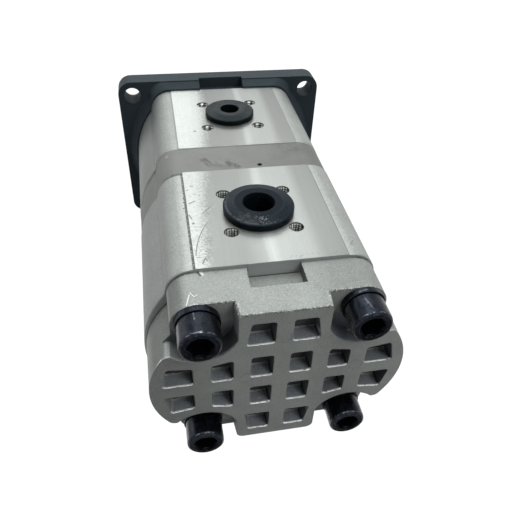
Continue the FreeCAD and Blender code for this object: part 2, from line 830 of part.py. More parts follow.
def lobe(drawing, inner, outer):
    """A pressure seal shaped like a rounded three, open at the top."""
    half = S("shaft_offset")
    drop = root(outer * outer - half * half)
    zero = as_size(0.0)
    c, s = math.cos(math.radians(60)), math.sin(math.radians(60))
    points = [
        (-half - outer * c, outer * s), (-half - outer, zero), (-half, -outer), (zero, -drop),
        (half, -outer), (half + outer, zero), (half + outer * c, outer * s), (half + inner * c, inner * s),
        (half + inner, zero), (half, -inner), (half - inner, zero),
        (inner - half, zero), (-half, -inner), (-half - inner, zero), (-half - inner * c, inner * s),
    ]
    rounds = {n: (outer, 1) for n in range(6)}
    rounds.update({n: (inner, -1) for n in (7, 8, 9, 11, 12, 13)})
    return drawing.loop(points, rounds)


liner_in = S("journal_dia") / 2 + S("running_gap")
liner_out = liner_in + S("liner_wall")
lobe_deep = S("lobe_rubber") + S("lobe_backup") + 0.15
for label, where, spin in SECTIONS:
    tag = "_" + label
    block = new_body(label + "_block", centre, -where, 0.0, spin)
    plan = eight(Drawing(block, "XZ_Plane", "block_plan" + tag), gear_bore - S("running_gap"))
    grow(block, plan, S("block_len") - S("running_gap"), "block_slab" + tag)
    plan = Drawing(block, "XZ_Plane", "journal_plan" + tag, S("block_len"))
    for way in (1, -1):
        plan.circle(pitch * way, 0.0, liner_out)
    cut(block, plan, S("block_len"), "journal_bores" + tag)
    plan = lobe(Drawing(block, "XZ_Plane", "lobe_plan" + tag), S("lobe_in"), S("lobe_out"))
    cut(block, plan, lobe_deep, "lobe_groove" + tag, True)
    plan = Drawing(block, "XZ_Plane", "relief_plan" + tag, S("block_len"))
    box_loop(plan, -S("relief_half"), S("relief_low"), S("relief_half"), gear_bore)
    cut(block, plan, S("relief_deep"), "relief" + tag)

    liners = new_body(label + "_liners", centre, -where, 0.0, spin)
    plan = Drawing(liners, "XZ_Plane", "liner_plan" + tag, S("liner_inset"))
    for way in (1, -1):
        plan.circle(pitch * way, 0.0, liner_out)
        plan.circle(pitch * way, 0.0, liner_in)
    grow(liners, plan, S("block_len") - S("liner_inset") * 2, "liner_pair" + tag)

    small, large = S("lobe_in") + 0.1, S("lobe_out") - 0.1
    rubber = new_body(label + "_pressure_seal", centre, -where, 0.0, spin)
    plan = lobe(Drawing(rubber, "XZ_Plane", "rubber_plan" + tag, S("lobe_backup") + 0.1), small, large)
    grow(rubber, plan, S("lobe_rubber"), "rubber_lobe" + tag)
    backup = new_body(label + "_backup_ring", centre, -where, 0.0, spin)
    plan = lobe(Drawing(backup, "XZ_Plane", "backup_plan" + tag, 0.05), small, large)
    grow(backup, plan, S("lobe_backup"), "backup_lobe" + tag)

# Rubber rings and dowels at the four joints
JOINTS = [
    ("front_cover", front_joint, -1),
    ("plate_front", plate_joint, 1),
    ("plate_rear", plate_end, -1),
    ("rear_cover", rear_joint, 1),
]
for label, where, way in JOINTS:
    ring = new_body(label + "_joint_seal", centre, -where)
    lift = S("fit_gap") if way > 0 else S("fit_gap") - S("groove_deep")
    plan = Drawing(ring, "XZ_Plane", "ring_plan_" + label, lift)
    stadium(plan, groove_out - 0.1)
    stadium(plan, groove_in + 0.1)
    grow(ring, plan, S("groove_deep") - S("fit_gap") * 2, "ring_" + label)
    pins = new_body(label + "_dowels", centre, -where)
    plan = Drawing(pins, "XY_Plane", "pin_profile_" + label, 0.0, dowel_across)
    long, wide = S("dowel_half"), S("dowel_dia") / 2
    plan.loop([
        (0.0, -long), (wide - 0.5, -long), (wide, -long + 0.5),
        (wide, long - 0.5), (wide - 0.5, long), (0.0, long),
    ])
    pin = turn(pins, plan, "pin_" + label)
    mirror(pins, [pin], "pin_pair_" + label, ["YZ_Plane"])


def port_plug(label, where, way, rim, crown, hole, edge, rise, bore, number):
    """A cup-shaped transport plug with a thick rim. It stands with its rim on a port face."""
    plug = new_body(label, centre, -where, port_top * way)
    if way < 0:
        plug.Placement = FreeCAD.Placement(plug.Placement.Base, FreeCAD.Rotation(V(0, 1, 0), 180))
    bore = bore - S("running_gap")
    low = -S("plug_stem")
    bottom = low + S("plug_floor")
    plan = Drawing(plug, "XZ_Plane", "plug_profile" + number)
    plan.loop([
        (0.0, low), (bore - 1.0, low), (bore, low + 1.2), (bore, 0.0), (rim - 0.3, 0.0), (rim, 0.3),
        (rim, edge - 0.3), (rim - 0.4, edge), (crown, rise), (hole, rise), (hole - 0.4, bottom),
        (0.0, bottom),
    ])
    turn(plug, plan, "plug_turned" + number)
    return plug


front_port = front_joint + body_len / 2
rear_port = plate_end + body_len / 2
rear_sizes = (S("rear_plug_dia") / 2, S("rear_plug_crown") / 2, S("rear_plug_hole") / 2,
              S("rear_plug_edge"), S("rear_plug_rise"), S("rear_port_dia") / 2)
front_sizes = (S("front_plug_dia") / 2, S("front_plug_crown") / 2, S("front_plug_hole") / 2,
               S("front_plug_edge"), S("front_plug_rise"), S("front_port_dia") / 2)
port_plug("rear_top_plug", rear_port, 1, *rear_sizes, "_a")
port_plug("rear_bottom_plug", rear_port, -1, *rear_sizes, "_b")
port_plug("front_top_plug", front_port, 1, *front_sizes, "_c")
port_plug("front_bottom_plug", front_port, -1, *front_sizes, "_d")

# Gears: involute teeth, each pair in mesh at the bore distance
TEETH = int(round(S("tooth_count").value))
PRESSURE = math.radians(S("pressure_angle").value)
pitch_r = pitch.value
base_r = pitch_r * math.cos(PRESSURE)
tip_r = pitch_r + module.value
foot_r = pitch_r - 1.25 * module.value


def involute(angle):
    return math.tan(angle) - angle


def half_tooth(radius):
    """Half the angle a tooth covers at a radius."""
    start = math.pi / (2 * TEETH) - S("backlash").value / (2 * pitch_r)
    return start + involute(PRESSURE) - involute(math.acos(min(1.0, base_r / radius)))


def polar(radius, angle):
    return V(radius * math.cos(angle), 0, radius * math.sin(angle))


def gear(turned, front, width):
    """A toothed solid that runs back from its front face."""
    edges = []
    steps = [base_r + (tip_r - base_r) * n / 7.0 for n in range(8)]
    for tooth in range(TEETH):
        middle = math.radians(turned) + 2 * math.pi * tooth / TEETH
        following = middle + 2 * math.pi / TEETH
        rising = [polar(radius, middle - half_tooth(radius)) for radius in steps]
        falling = [polar(radius, middle + half_tooth(radius)) for radius in reversed(steps)]
        low_half = half_tooth(base_r)
        first = polar(foot_r, middle - low_half)
        last = polar(foot_r, middle + low_half)
        flank = Part.BSplineCurve()
        flank.interpolate(rising)
        back = Part.BSplineCurve()
        back.interpolate(falling)
        edges.append(Part.makeLine(first, rising[0]))
        edges.append(flank.toShape())
        edges.append(Part.Arc(rising[-1], polar(tip_r, middle), falling[0]).toShape())
        edges.append(back.toShape())
        edges.append(Part.makeLine(falling[-1], last))
        bottom = polar(foot_r, middle + math.pi / TEETH)
        edges.append(Part.Arc(last, bottom, polar(foot_r, following - low_half)).toShape())
    face = Part.Face(Part.Wire(edges))
    solid = face.extrude(V(0, -width, 0))
    solid.translate(V(0, -front, 0))
    return solid


def turned_shaft(points):
    """A solid of revolution about the shaft axis, from radius and place pairs."""
    wire = Part.makePolygon([V(radius, y, 0) for radius, y in points + points[:1]])
    return Part.Face(wire).revolve(V(0, 0, 0), V(0, 1, 0), 360)


def splined(core, tip, wide, back, front):
    """A short end with six straight teeth."""
    length = front - back
    solid = Part.makeCylinder(core, length, V(0, back, 0), V(0, 1, 0))
    limit = Part.makeCylinder(tip, length, V(0, back, 0), V(0, 1, 0))
    for n in range(3):
        bar = Part.makeBox(2 * tip + 2, length, wide, V(-tip - 1, back, -wide / 2))
        bar.rotate(V(0, 0, 0), V(0, 1, 0), 60 * n)
        solid = solid.fuse(bar.common(limit))
    return solid.removeSplitter()


def shaped(label, shape, x, y):
    item = doc.addObject("Part::Feature", label)
    item.Label = label
    item.Shape = shape
    place(item, x, y, 0.0)
    NODES[label] = item
    return item


def mm(alias):
    return S(alias).value


jr = mm("journal_dia") / 2
gap = mm("end_play") / 2
gear_front = mm("block_len") + gap
body_end = body_len.value
front_at = front_joint.value
core_r, spline_r = mm("spline_core_dia") / 2, mm("spline_tip_dia") / 2
spline_out = mm("plate_len") / 2 - 1.0
journal_end = 0.8

# Front drive shaft, in the frame of the front joint: journals, taper with a key slot, thread, splined end
big = jr - 0.5
small = big - mm("taper_len") / 10
thread = mm("thread_dia") / 2
start = front_at + mm("taper_start")
stop = start + mm("taper_len")
finish = stop + mm("thread_len")
rear_end = journal_end - body_end
shaft = turned_shaft([
    (0, rear_end), (jr - 0.6, rear_end), (jr, rear_end + 0.6), (jr, start - 0.5), (big, start),
    (small, stop), (thread - 1.1, stop), (thread - 1.1, stop + 1.6), (thread, stop + 2.4),
    (thread, finish - 1.2), (thread - 1.2, finish), (0, finish),
])
shaft = shaft.fuse(gear(0.0, gear_front, mm("gear_width")))
shaft = shaft.fuse(splined(core_r, spline_r, mm("spline_wide"), -body_end - spline_out, -body_end + 1.0))
shaft = shaft.removeSplitter()
key_at = start + mm("taper_len") / 2
key_r = mm("key_dia") / 2
key_top = (big + small) / 2 + mm("key_stand")
key_centre = key_top - mm("key_high") + key_r
slot_wide = mm("key_wide") + 2 * mm("fit_gap")
slot_start = V(-slot_wide / 2, key_at, key_centre)
slot = Part.makeCylinder(key_r + mm("running_gap"), slot_wide, slot_start, V(1, 0, 0))
shaft = shaft.cut(slot)
shaped("drive_gear_shaft", shaft, 0.0, -front_joint)

# Half-moon key in the taper
rise = (S("journal_dia") - 1.0) / 2 - S("taper_len") / 20 + S("key_stand") - S("key_high") + S("key_dia") / 2
key = new_body("shaft_key", -S("key_wide") / 2, S("taper_start") + S("taper_len") / 2, rise)
round_r = S("key_dia") / 2
drop = S("key_high") - round_r
half_key = root(round_r * round_r - drop * drop)
plan = Drawing(key, "YZ_Plane", "key_profile")
plan.loop([(-half_key, drop), (0.0, -round_r), (half_key, drop)], {0: (round_r, 1), 1: (round_r, 1)})
grow(key, plan, S("key_wide"), "key_disc")

# Nut and spring washer on the thread
nut_back = S("taper_start") + S("taper_len") + S("nut_gap")
nut_high = S("nut_high")
nut = new_body("shaft_nut", 0.0, nut_back + nut_high)
plan = Drawing(nut, "XZ_Plane", "nut_plan")
across = S("nut_flats") / math.sqrt(3)
turns = [math.radians(60 * n) for n in range(6)]
plan.loop([(across * math.cos(a), across * math.sin(a)) for a in turns])
grow(nut, plan, nut_high, "nut_blank")
plan = Drawing(nut, "XY_Plane", "nut_bevel_plan")
plan.loop([(S("nut_flats") / 2 + 0.3, 0.0), (across + 1.1, 0.0), (across + 1.1, -1.3)])
turn(nut, plan, "nut_bevel", "Groove")
thread_r = S("thread_dia") / 2
plan = Drawing(nut, "XZ_Plane", "nut_hole_plan", nut_high).circle(0.0, 0.0, thread_r + S("fit_gap"))
cut(nut, plan, nut_high, "nut_hole")
nut_washer = new_body("shaft_washer", 0.0, nut_back - 0.05)
deep, outer = S("nut_washer_thick"), thread_r + 4.5
plan = Drawing(nut_washer, "XY_Plane", "nut_washer_plan")
plan.loop([
    (thread_r + 0.15, -deep), (outer - 0.2, -deep), (outer, 0.2 - deep), (outer, -0.2), (outer - 0.2, 0.0),
    (thread_r + 0.15, 0.0),
])
turn(nut_washer, plan, "nut_washer_ring")
plan = Drawing(nut_washer, "XY_Plane", "nut_washer_split_plan", 4.0)
plan.loop([(-1.6, 0.5), (-0.2, 0.5), (1.4, -deep - 0.5), (0.0, -deep - 0.5)])
cut(nut_washer, plan, outer, "nut_washer_split", backward=True)

# Driven gears, with a journal at each end
for label, where in (("front_driven_gear", front_joint), ("rear_driven_gear", plate_end)):
    shaft = turned_shaft([
        (0, rear_end), (jr - 0.6, rear_end), (jr, rear_end + 0.6),
        (jr, -journal_end - 0.6), (jr - 0.6, -journal_end), (0, -journal_end),
    ])
    shaft = shaft.fuse(gear(180.0 / TEETH, gear_front, mm("gear_width"))).removeSplitter()
    hole = Part.makeCylinder(jr / 3, body_end, V(0, -body_end, 0), V(0, 1, 0))
    shaft = shaft.cut(hole)
    shaped(label, shaft, centre * 2, -where)

# Rear drive gear, splined at its front end
shaft = turned_shaft([
    (0, rear_end), (jr - 0.6, rear_end), (jr, rear_end + 0.6),
    (jr, -journal_end - 0.6), (jr - 0.6, -journal_end), (0, -journal_end),
])
shaft = shaft.fuse(gear(0.0, gear_front, mm("gear_width")))
shaft = shaft.fuse(splined(core_r, spline_r, mm("spline_wide"), -1.0, spline_out)).removeSplitter()
shaped("rear_drive_gear", shaft, 0.0, -plate_end)

# Sleeve that joins the two drive shafts inside the plate
end_play = 1.2
sleeve_len = mm("plate_len") - 2 * end_play
loose = mm("running_gap") * 2
sleeve = Part.makeCylinder(sleeve_r.value, sleeve_len, V(0, -sleeve_len, 0), V(0, 1, 0))
loose_wide = mm("spline_wide") + 2 * loose
sleeve = sleeve.cut(splined(core_r + loose, spline_r + loose, loose_wide, -sleeve_len - 1, 1.0))
shaped("coupling_sleeve", sleeve, 0.0, -plate_joint - end_play)

doc.recompute()
faults = []
for item in doc.Objects:
    if "Invalid" in item.State or "Error" in item.State:
        faults.append(item.Name)
for label, item in NODES.items():
    shape = item.Shape
    if shape.isNull() or not shape.isValid() or shape.Volume <= 0:
        faults.append("shape of " + label)
if faults:
    raise RuntimeError("not built: " + ", ".join(faults))
for label, item in NODES.items():
    item.Shape.exportStep("parts/%s.step" % label)
    box = item.Shape.BoundBox
    print("%-36s solids %d  x %.1f %.1f  y %.1f %.1f  z %.1f %.1f  volume %.1f" % (
        label, len(item.Shape.Solids), box.XMin, box.XMax, box.YMin, box.YMax, box.ZMin, box.ZMax,
        item.Shape.Volume))
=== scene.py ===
"""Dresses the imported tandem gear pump: camera, light, finishes and the screw threads in its ports."""
import json
import math
from types import SimpleNamespace

import bpy
import numpy as np
from mathutils import Matrix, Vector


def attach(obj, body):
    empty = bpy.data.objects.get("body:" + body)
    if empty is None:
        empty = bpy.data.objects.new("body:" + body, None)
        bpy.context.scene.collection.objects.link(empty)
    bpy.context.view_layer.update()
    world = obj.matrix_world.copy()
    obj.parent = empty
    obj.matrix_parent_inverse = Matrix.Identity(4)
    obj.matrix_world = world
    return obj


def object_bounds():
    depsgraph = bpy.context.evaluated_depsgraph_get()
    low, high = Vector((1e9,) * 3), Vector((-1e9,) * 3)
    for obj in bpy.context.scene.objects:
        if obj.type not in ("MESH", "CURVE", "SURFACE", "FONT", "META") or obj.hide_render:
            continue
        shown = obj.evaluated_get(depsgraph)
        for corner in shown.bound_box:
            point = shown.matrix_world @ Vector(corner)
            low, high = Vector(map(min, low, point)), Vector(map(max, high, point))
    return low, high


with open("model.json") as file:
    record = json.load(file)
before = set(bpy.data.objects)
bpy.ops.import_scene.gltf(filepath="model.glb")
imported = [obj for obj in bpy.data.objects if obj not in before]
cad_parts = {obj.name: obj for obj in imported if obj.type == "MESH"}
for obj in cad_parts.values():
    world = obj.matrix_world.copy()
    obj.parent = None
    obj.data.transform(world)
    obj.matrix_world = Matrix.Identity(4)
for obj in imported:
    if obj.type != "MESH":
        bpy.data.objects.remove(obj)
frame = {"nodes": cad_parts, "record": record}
cad_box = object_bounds()
MM = 0.001

# Places that the frame gives, in millimetres
mounts = {mount["name"]: mount for mount in frame["record"]["mounts"]}
BODY_MIDDLE, REAR_PORT, PORT_TOP = (value / MM for value in mounts["rear_top_port"]["pos_m"])
FRONT_PORT = mounts["front_top_port"]["pos_m"][1] / MM
SCREW_PITCH = mounts["rear_top_port"]["dims"]["spacing_x_mm"]
BOLT_END = float(cad_box[0][1]) / MM
LOWEST = float(cad_box[0][2]) / MM

# Places taken from the solids, in millimetres
PORT_HALF = 28.7
FLANK_TURN = 25.5
PLATE_FRONT = -79.8
PLATE_BACK = -100.6
COVER_JOINT = -164.0
REAR_FACE = -186.8
CELL_DEPTH = 6.2
SEAT_DEPTH = 7.0
BLOCK_HALF = 16.5
BOLT_ACROSS = 29.9
BOLT_HIGH = 30.5
RIDGE_HEIGHT = PORT_TOP + 3.4
LEAK_HOLE = (BODY_MIDDLE + 7.0, -97.5, 38.4)
EJECTOR_MARKS = ((-28.6, 3.2), (14.2, 3.0), (-15.5, 24.5))
EJECTOR_RADIUS = 2.6

# How far some masks reach, with the rounds: about a bolt, and to each side of the middle plane
RECESS_REACH = 16.0
NOTCH_REACH = 11.5
HOLES_REACH = 20.0

# Limits between which some masks rise, and bands that others cover, in millimetres
PUMP_LENGTH = (-22.0, -158.0)
COVER_TOP = (35.0, 36.0)
CELL_TOP = (34.5, 34.0)
CELL_SIDE = (46.5, 46.0)
CORNER_SIDE = (12.6, 13.2)
CORNER_HEIGHT = (17.0, 18.0)
STEP_HEIGHT = (38.8, 39.2)
DOT_ROW = (-163.4, -161.4)
HEAD_SIDE = (7.2, 7.4)
HEAD_FLAT = (5.8, 5.5)
SOCKET_WALL = (5.1, 4.9)
SIDE_STRIP = (0.6, 9.4)
DISH_RING = (6.0, 9.6)
RIM_RING = (13.2, 13.7)
NARROW_STRIPE = 1.02
BROAD_STRIPE = 2.6

# The M6 threads round the ports: two radii, the rise of a turn, how many turns, and where they start
THREAD_WALL = 2.98
THREAD_CREST = 2.45
THREAD_STEP = 1.0
THREAD_TURNS = 9.0
THREAD_START = 0.5

# Single marks as the photograph shows them: start (x, y), end (x, y), width and, where bowed, the bow
PORT_FACE_SCRATCHES = (
    ((-37.0, -137.9), (-43.2, -157.0), 0.30, 1.1), ((-43.0, -124.4), (-40.6, -123.0), 0.45),
    ((-38.4, -131.8), (-36.9, -130.2), 0.36), ((-36.6, -129.9), (-34.5, -127.5), 0.32),
    ((-43.7, -132.1), (-42.8, -134.9), 0.42), ((-40.2, -159.0), (-41.2, -161.5), 0.40),
    ((-41.6, -111.9), (-40.2, -111.8), 0.34), ((-36.4, -131.2), (-35.8, -132.6), 0.26),
    ((-39.6, -140.6), (-42.6, -139.9), 0.20), ((-40.0, -158.6), (-39.4, -160.4), 0.30),
    ((-41.0, -117.6), (-39.4, -118.4), 0.20), ((-43.4, -115.0), (-42.4, -114.4), 0.30),
)
SHOULDER_RUBS = (((15.4, -158.4), (17.6, -155.2), 0.35), ((15.8, -156.6), (16.8, -157.8), 0.25))
PLATE_SMUDGES = (
    ((-33.4, -90.4), (-30.9, -95.4), 2.3), ((-22.7, -93.6), (-21.9, -96.6), 1.9),
    ((-21.2, -95.4), (-18.8, -98.2), 2.0),
)
PLATE_SMEAR = (((-31.5, -95.4), (-26.5, -96.4), 1.8),)
COVER_NICKS = (
    ((-48.6, -179.1), (-47.3, -174.6), 0.30), ((-46.9, -173.8), (-45.6, -175.9), 0.25),
    ((-45.6, -175.9), (-44.6, -175.0), 0.18), ((-42.9, -162.8), (-41.7, -165.6), 0.62),
)
NICK_SHADOWS = (((-43.9, -163.2), (-42.6, -166.0), 0.50), ((-46.4, -174.3), (-45.2, -176.3), 0.25))
# Bright marks on the screw heads, part rubs and part painted highlights
HEAD_RUB_HIGHLIGHTS = (
    ((-46.7, -182.6), (-46.5, -185.6), 0.34), ((-48.6, -191.0), (-44.6, -191.0), 0.20, 0.3),
    ((11.4, -181.6), (14.6, -181.2), 0.30), ((12.6, -184.6), (13.8, -189.6), 0.30),
)

# Single dark dots: x, y, radius and how much of the radius is soft
PORT_FACE_DOTS = ((-35.1, -63.9, 0.95, 0.5), (-42.5, -137.8, 0.8, 0.4), (13.9, -146.0, 0.6, 0.3))
SPECKLED_PATCHES = ((-40.0, -149.0, 5.0, 2.5), (-40.6, -156.5, 4.5, 2.0))
STEP_NICKS = ((-44.8, -120.0, 0.8, 0.4), (-45.0, -122.7, 0.7, 0.4), (-45.3, -126.9, 0.7, 0.4))

# The painted bands of light on the port faces: how light they are from left to right, at the front of the
# pump and at its rear
BAND_LIMITS = (-30.0, 34.0)
BAND_PLACES = (-29.0, -20.0, -15.0, -12.6, -10.0, 0.0, 5.2, 6.4, 7.8, 10.0, 19.0, 22.6, 30.0)
FRONT_BANDS = (0.52, 0.49, 0.40, 0.23, 0.14, 0.16, 0.19, 0.28, 0.30, 0.24, 0.23, 0.13, 0.12)
REAR_BANDS = (0.37, 0.40, 0.42, 0.37, 0.20, 0.20, 0.26, 0.34, 0.38, 0.31, 0.29, 0.21, 0.20)

# Colours, as linear red, green and blue
BLASTED = (0.352, 0.378, 0.358)
# Painted shade: the blue of the shaded walls, floors and sills in the cells and bolt recesses
BLUE_SHADE = (0.31, 0.345, 0.41)
# Part wear and part painted highlight on the lips of the cells
WORN_LIP_AND_HIGHLIGHT = (0.97, 0.99, 0.98)
# Painted highlight where the cell floors meet the sills
CREASE_HIGHLIGHT = (0.62, 0.64, 0.62)
CHIPPED = (0.06, 0.061, 0.058)
# Painted glints on the upper edges of the cover
EDGE_GLINT = (0.90, 0.91, 0.90)
NICKED = (0.95, 0.95, 0.94)
MACHINED = (0.935, 1.0, 0.955)
MOTTLE = (0.24, 0.25, 0.245)
SCRATCHED = (0.085, 0.09, 0.09)
DRAWN = (0.263, 0.282, 0.270)
CUT_END = (0.37, 0.39, 0.39)
PLATE_GREY = (0.203, 0.213, 0.203)
OILY = (0.056, 0.063, 0.059)
PAINT = (0.036, 0.050, 0.059)
PAINT_EDGE = (0.13, 0.14, 0.145)
IRON = (0.34, 0.34, 0.33)
OXIDE_SIDE = (0.0190, 0.0228, 0.0300)
# Painted shade: the almost black of the screw ends
SHADED_OXIDE_END = (0.0016, 0.0026, 0.0050)
# Bare steel and painted highlights on the screw heads
OXIDE_RUB_AND_HIGHLIGHT = (0.60, 0.62, 0.64)
# Painted glints on the crowns of the screw heads
OXIDE_GLINT = (0.45, 0.46, 0.48)
PLUG_BLACK = (0.0100, 0.0178, 0.0238)
PLUG_DISH = (0.008, 0.011, 0.016)
PLUG_GREEN = (0.004, 0.0105, 0.0105)
# Painted highlight on the upper edges of the plugs
PLUG_EDGE_HIGHLIGHT = (0.10, 0.11, 0.12)
PLUG_DUST = (0.26, 0.26, 0.25)
PLUG_SHEEN = (0.30, 0.33, 0.36)
# Painted sheen: a soft glow beside the rear plug's ridge
PLUG_GLOW_SHEEN = (0.30, 0.32, 0.34)
# Painted glints on the rear plug's ridge
PLUG_GLINT = (0.66, 0.70, 0.76)
GROUND_STEEL = (0.50, 0.50, 0.51)

# Marks drawn along the length of the pump: noise stretched along y
DIE_LINES = (1.0, 0.015, 1.0)
CUTTER_LINES = (1.0, 0.02, 1.0)
GRINDING_LINES = (1.0, 0.2, 1.0)
# On the screw heads: streaks of painted sheen
HEAD_SHEEN_STREAKS = (1.0, 0.25, 1.0)


class Finish:
    """One finish: a Principled shader and the patterns that feed it, measured in millimetres.

    A mask is one on the place that it is named for and nought elsewhere.
    """

    def __init__(self, name, metallic=0.0, roughness=0.5, shine=0.5):
        self.material = bpy.data.materials.new(name)
        self.material.use_nodes = True
        self.tree = self.material.node_tree
        self.shader = self.tree.nodes["Principled BSDF"]
        self.shader.inputs["Metallic"].default_value = metallic
        self.shader.inputs["Roughness"].default_value = roughness
        self.shader.inputs["Specular IOR Level"].default_value = shine
        scaled = self.add("ShaderNodeVectorMath", operation="SCALE")
        scaled.inputs["Scale"].default_value = 1.0 / MM
        self.feed(scaled.inputs[0], self.add("ShaderNodeTexCoord").outputs["Object"])
        self.place = scaled.outputs[0]
        self.x, self.y, self.z = self.parts(self.place)
        self.normal = None

    def add(self, kind, **settings):
        node = self.tree.nodes.new(kind)
        for key, value in settings.items():
            setattr(node, key, value)
        return node

    def feed(self, socket, value):
        """Links an output, or sets a number or a colour of three parts."""
        if hasattr(value, "is_output"):
            self.tree.links.new(value, socket)
        elif isinstance(value, tuple):
            socket.default_value = (*value, 1.0)
        else:
            socket.default_value = value

    def parts(self, vector):
        """The x, y and z of a vector."""
        node = self.add("ShaderNodeSeparateXYZ")
        self.feed(node.inputs[0], vector)
        return node.outputs

    def calc(self, operation, *values):
        node = self.add("ShaderNodeMath", operation=operation)
        for socket, value in zip(node.inputs, values):
            self.feed(socket, value)
        return node.outputs[0]

    def plus(self, total, *others):
        for other in others:
            total = self.calc("ADD", total, other)
        return total

    def times(self, product, *others):
        for other in others:
            product = self.calc("MULTIPLY", product, other)
        return product

    def most(self, largest, *others):
        for other in others:
            largest = self.calc("MAXIMUM", largest, other)
        return largest

    def less(self, one, two):
        return self.calc("SUBTRACT", one, two)

    def size(self, value):
        return self.calc("ABSOLUTE", value)

    def far(self, one, two):
        """How far a point lies from nought when one and two are its steps along two directions."""
        return self.calc("SQRT", self.plus(self.times(one, one), self.times(two, two)))

    def rise(self, value, low, high, start=0.0, end=1.0):
        """Goes smoothly from start to end while the value goes from low to high."""
        node = self.add("ShaderNodeMapRange", interpolation_type="SMOOTHSTEP")
        for socket, number in zip(node.inputs, (value, low, high, start, end)):
            self.feed(socket, number)
        return node.outputs[0]

    def within(self, value, low, high, soft=0.3):
        """A mask of the values between two limits, with edges as wide as soft."""
        return self.times(self.rise(value, low - soft, low), self.rise(value, high, high + soft, 1.0, 0.0))

    def shade(self, level, mask, factor):
        """Multiplies a level by a factor on the mask and leaves it as it is elsewhere."""
        return self.times(level, self.rise(mask, 0.0, 1.0, 1.0, factor))

    def between(self, share, one, two):
        """A number that goes from one to two as share goes from nought to one."""
        node = self.add("ShaderNodeMix", data_type="FLOAT")
        for place, value in ((0, share), (2, one), (3, two)):
            self.feed(node.inputs[place], value)
        return node.outputs[0]

    def mix(self, share, one, two):
        """A colour that goes from one to two as share goes from nought to one."""
        node = self.add("ShaderNodeMix", data_type="RGBA")
        for place, value in ((0, share), (6, one), (7, two)):
            self.feed(node.inputs[place], value)
        return node.outputs[2]

    def tint(self, colour, factor):
        """A colour made lighter or darker by a factor."""
        grey = self.add("ShaderNodeCombineColor")
        for socket in grey.inputs:
            self.feed(socket, factor)
        node = self.add("ShaderNodeMix", data_type="RGBA", blend_type="MULTIPLY")
        for place, value in ((0, 1.0), (6, colour), (7, grey.outputs[0])):
            self.feed(node.inputs[place], value)
        return node.outputs[2]

    def stretched(self, along):
        """The place, stretched along each axis by a factor."""
        node = self.add("ShaderNodeMapping", vector_type="POINT")
        self.feed(node.inputs["Vector"], self.place)
        node.inputs["Scale"].default_value = along
        return node.outputs[0]

    def grain(self, size, detail=3.0, rough=0.55, along=(1.0, 1.0, 1.0)):
        """Cloudy noise whose clouds are about size millimetres across, around one half."""
        node = self.add("ShaderNodeTexNoise")
        self.feed(node.inputs["Vector"], self.stretched(along))
        node.inputs["Scale"].default_value = 1.0 / size
        node.inputs["Detail"].default_value = detail
        node.inputs["Roughness"].default_value = rough
        return node.outputs["Fac"]

    def turned(self, radius, step):
        """Rings left by a lathe: noise read along the radius, about one ring every step millimetres."""
        node = self.add("ShaderNodeTexNoise", noise_dimensions="1D")
        self.feed(node.inputs["W"], self.times(radius, 1.0 / step))
        node.inputs["Scale"].default_value = 1.0
        node.inputs["Detail"].default_value = 2.0
        return node.outputs["Fac"]

    def specks(self, spacing, share):
        """A mask of small round spots; share is how much of the spacing one spot takes."""
        node = self.add("ShaderNodeTexVoronoi", feature="F1")
        self.feed(node.inputs["Vector"], self.place)
        node.inputs["Scale"].default_value = 1.0 / spacing
        return self.rise(node.outputs["Distance"], share * 0.6, share, 1.0, 0.0)

    def bands(self, value, greys):
        """Reads a grey off the row of band places, with straight runs between them."""
        low, high = BAND_LIMITS
        scale = self.add("ShaderNodeMapRange")
        for socket, number in zip(scale.inputs, (value, low, high, 0.0, 1.0)):
            self.feed(socket, number)
        node = self.add("ShaderNodeValToRGB")
        self.feed(node.inputs["Fac"], scale.outputs[0])
        row = node.color_ramp.elements
        while len(row) < len(greys):
            row.new(0.5)
        for item, place, grey in zip(row, BAND_PLACES, greys):
            item.position = (place - low) / (high - low)
            item.color = (grey, grey, grey, 1.0)
        return node.outputs["Color"]

    def soften(self, radius):
        """Rounds the shading of sharp edges by a radius and gives a mask of those edges."""
        bevel = self.add("ShaderNodeBevel", samples=6)
        bevel.inputs["Radius"].default_value = radius * MM
        self.normal = bevel.outputs[0]
        dot = self.add("ShaderNodeVectorMath", operation="DOT_PRODUCT")
        self.feed(dot.inputs[0], self.normal)
        self.feed(dot.inputs[1], self.add("ShaderNodeNewGeometry").outputs["Normal"])
        return self.rise(dot.outputs["Value"], 0.78, 0.985, 1.0, 0.0)

    def round_more(self, mask, radius):
        """Rounds the shading over a larger radius on the mask."""
        wider = self.add("ShaderNodeBevel", samples=8)
        wider.inputs["Radius"].default_value = radius * MM
        blend = self.add("ShaderNodeMix", data_type="VECTOR")
        for place, value in ((0, mask), (4, self.normal), (5, wider.outputs[0])):
            self.feed(blend.inputs[place], value)
        self.normal = blend.outputs[1]

    def open_sky(self, reach):
        """Is one where nothing stands within reach millimetres and falls in corners and pockets."""
        node = self.add("ShaderNodeAmbientOcclusion", samples=8)
        node.inputs["Distance"].default_value = reach * MM
        return node.outputs["AO"]

    def relief(self, height, depth):
        """Raises the surface where height is one, by depth millimetres."""
        bump = self.add("ShaderNodeBump")
        bump.inputs["Strength"].default_value = 1.0
        bump.inputs["Distance"].default_value = depth * MM
        self.feed(bump.inputs["Height"], height)
        if self.normal is not None:
            self.feed(bump.inputs["Normal"], self.normal)
        self.normal = bump.outputs[0]

    def done(self, colour, roughness=None, metallic=None):
        """Joins the patterns to the shader and gives the material."""
        wanted = {"Base Color": colour, "Roughness": roughness, "Metallic": metallic, "Normal": self.normal}
        for name, value in wanted.items():
            if value is not None:
                self.feed(self.shader.inputs[name], value)
        return self.material


def facing(f):
    """The x, y and z of the surface's own normal, in the frame of the pump."""
    return f.parts(f.add("ShaderNodeNewGeometry").outputs["Normal"])


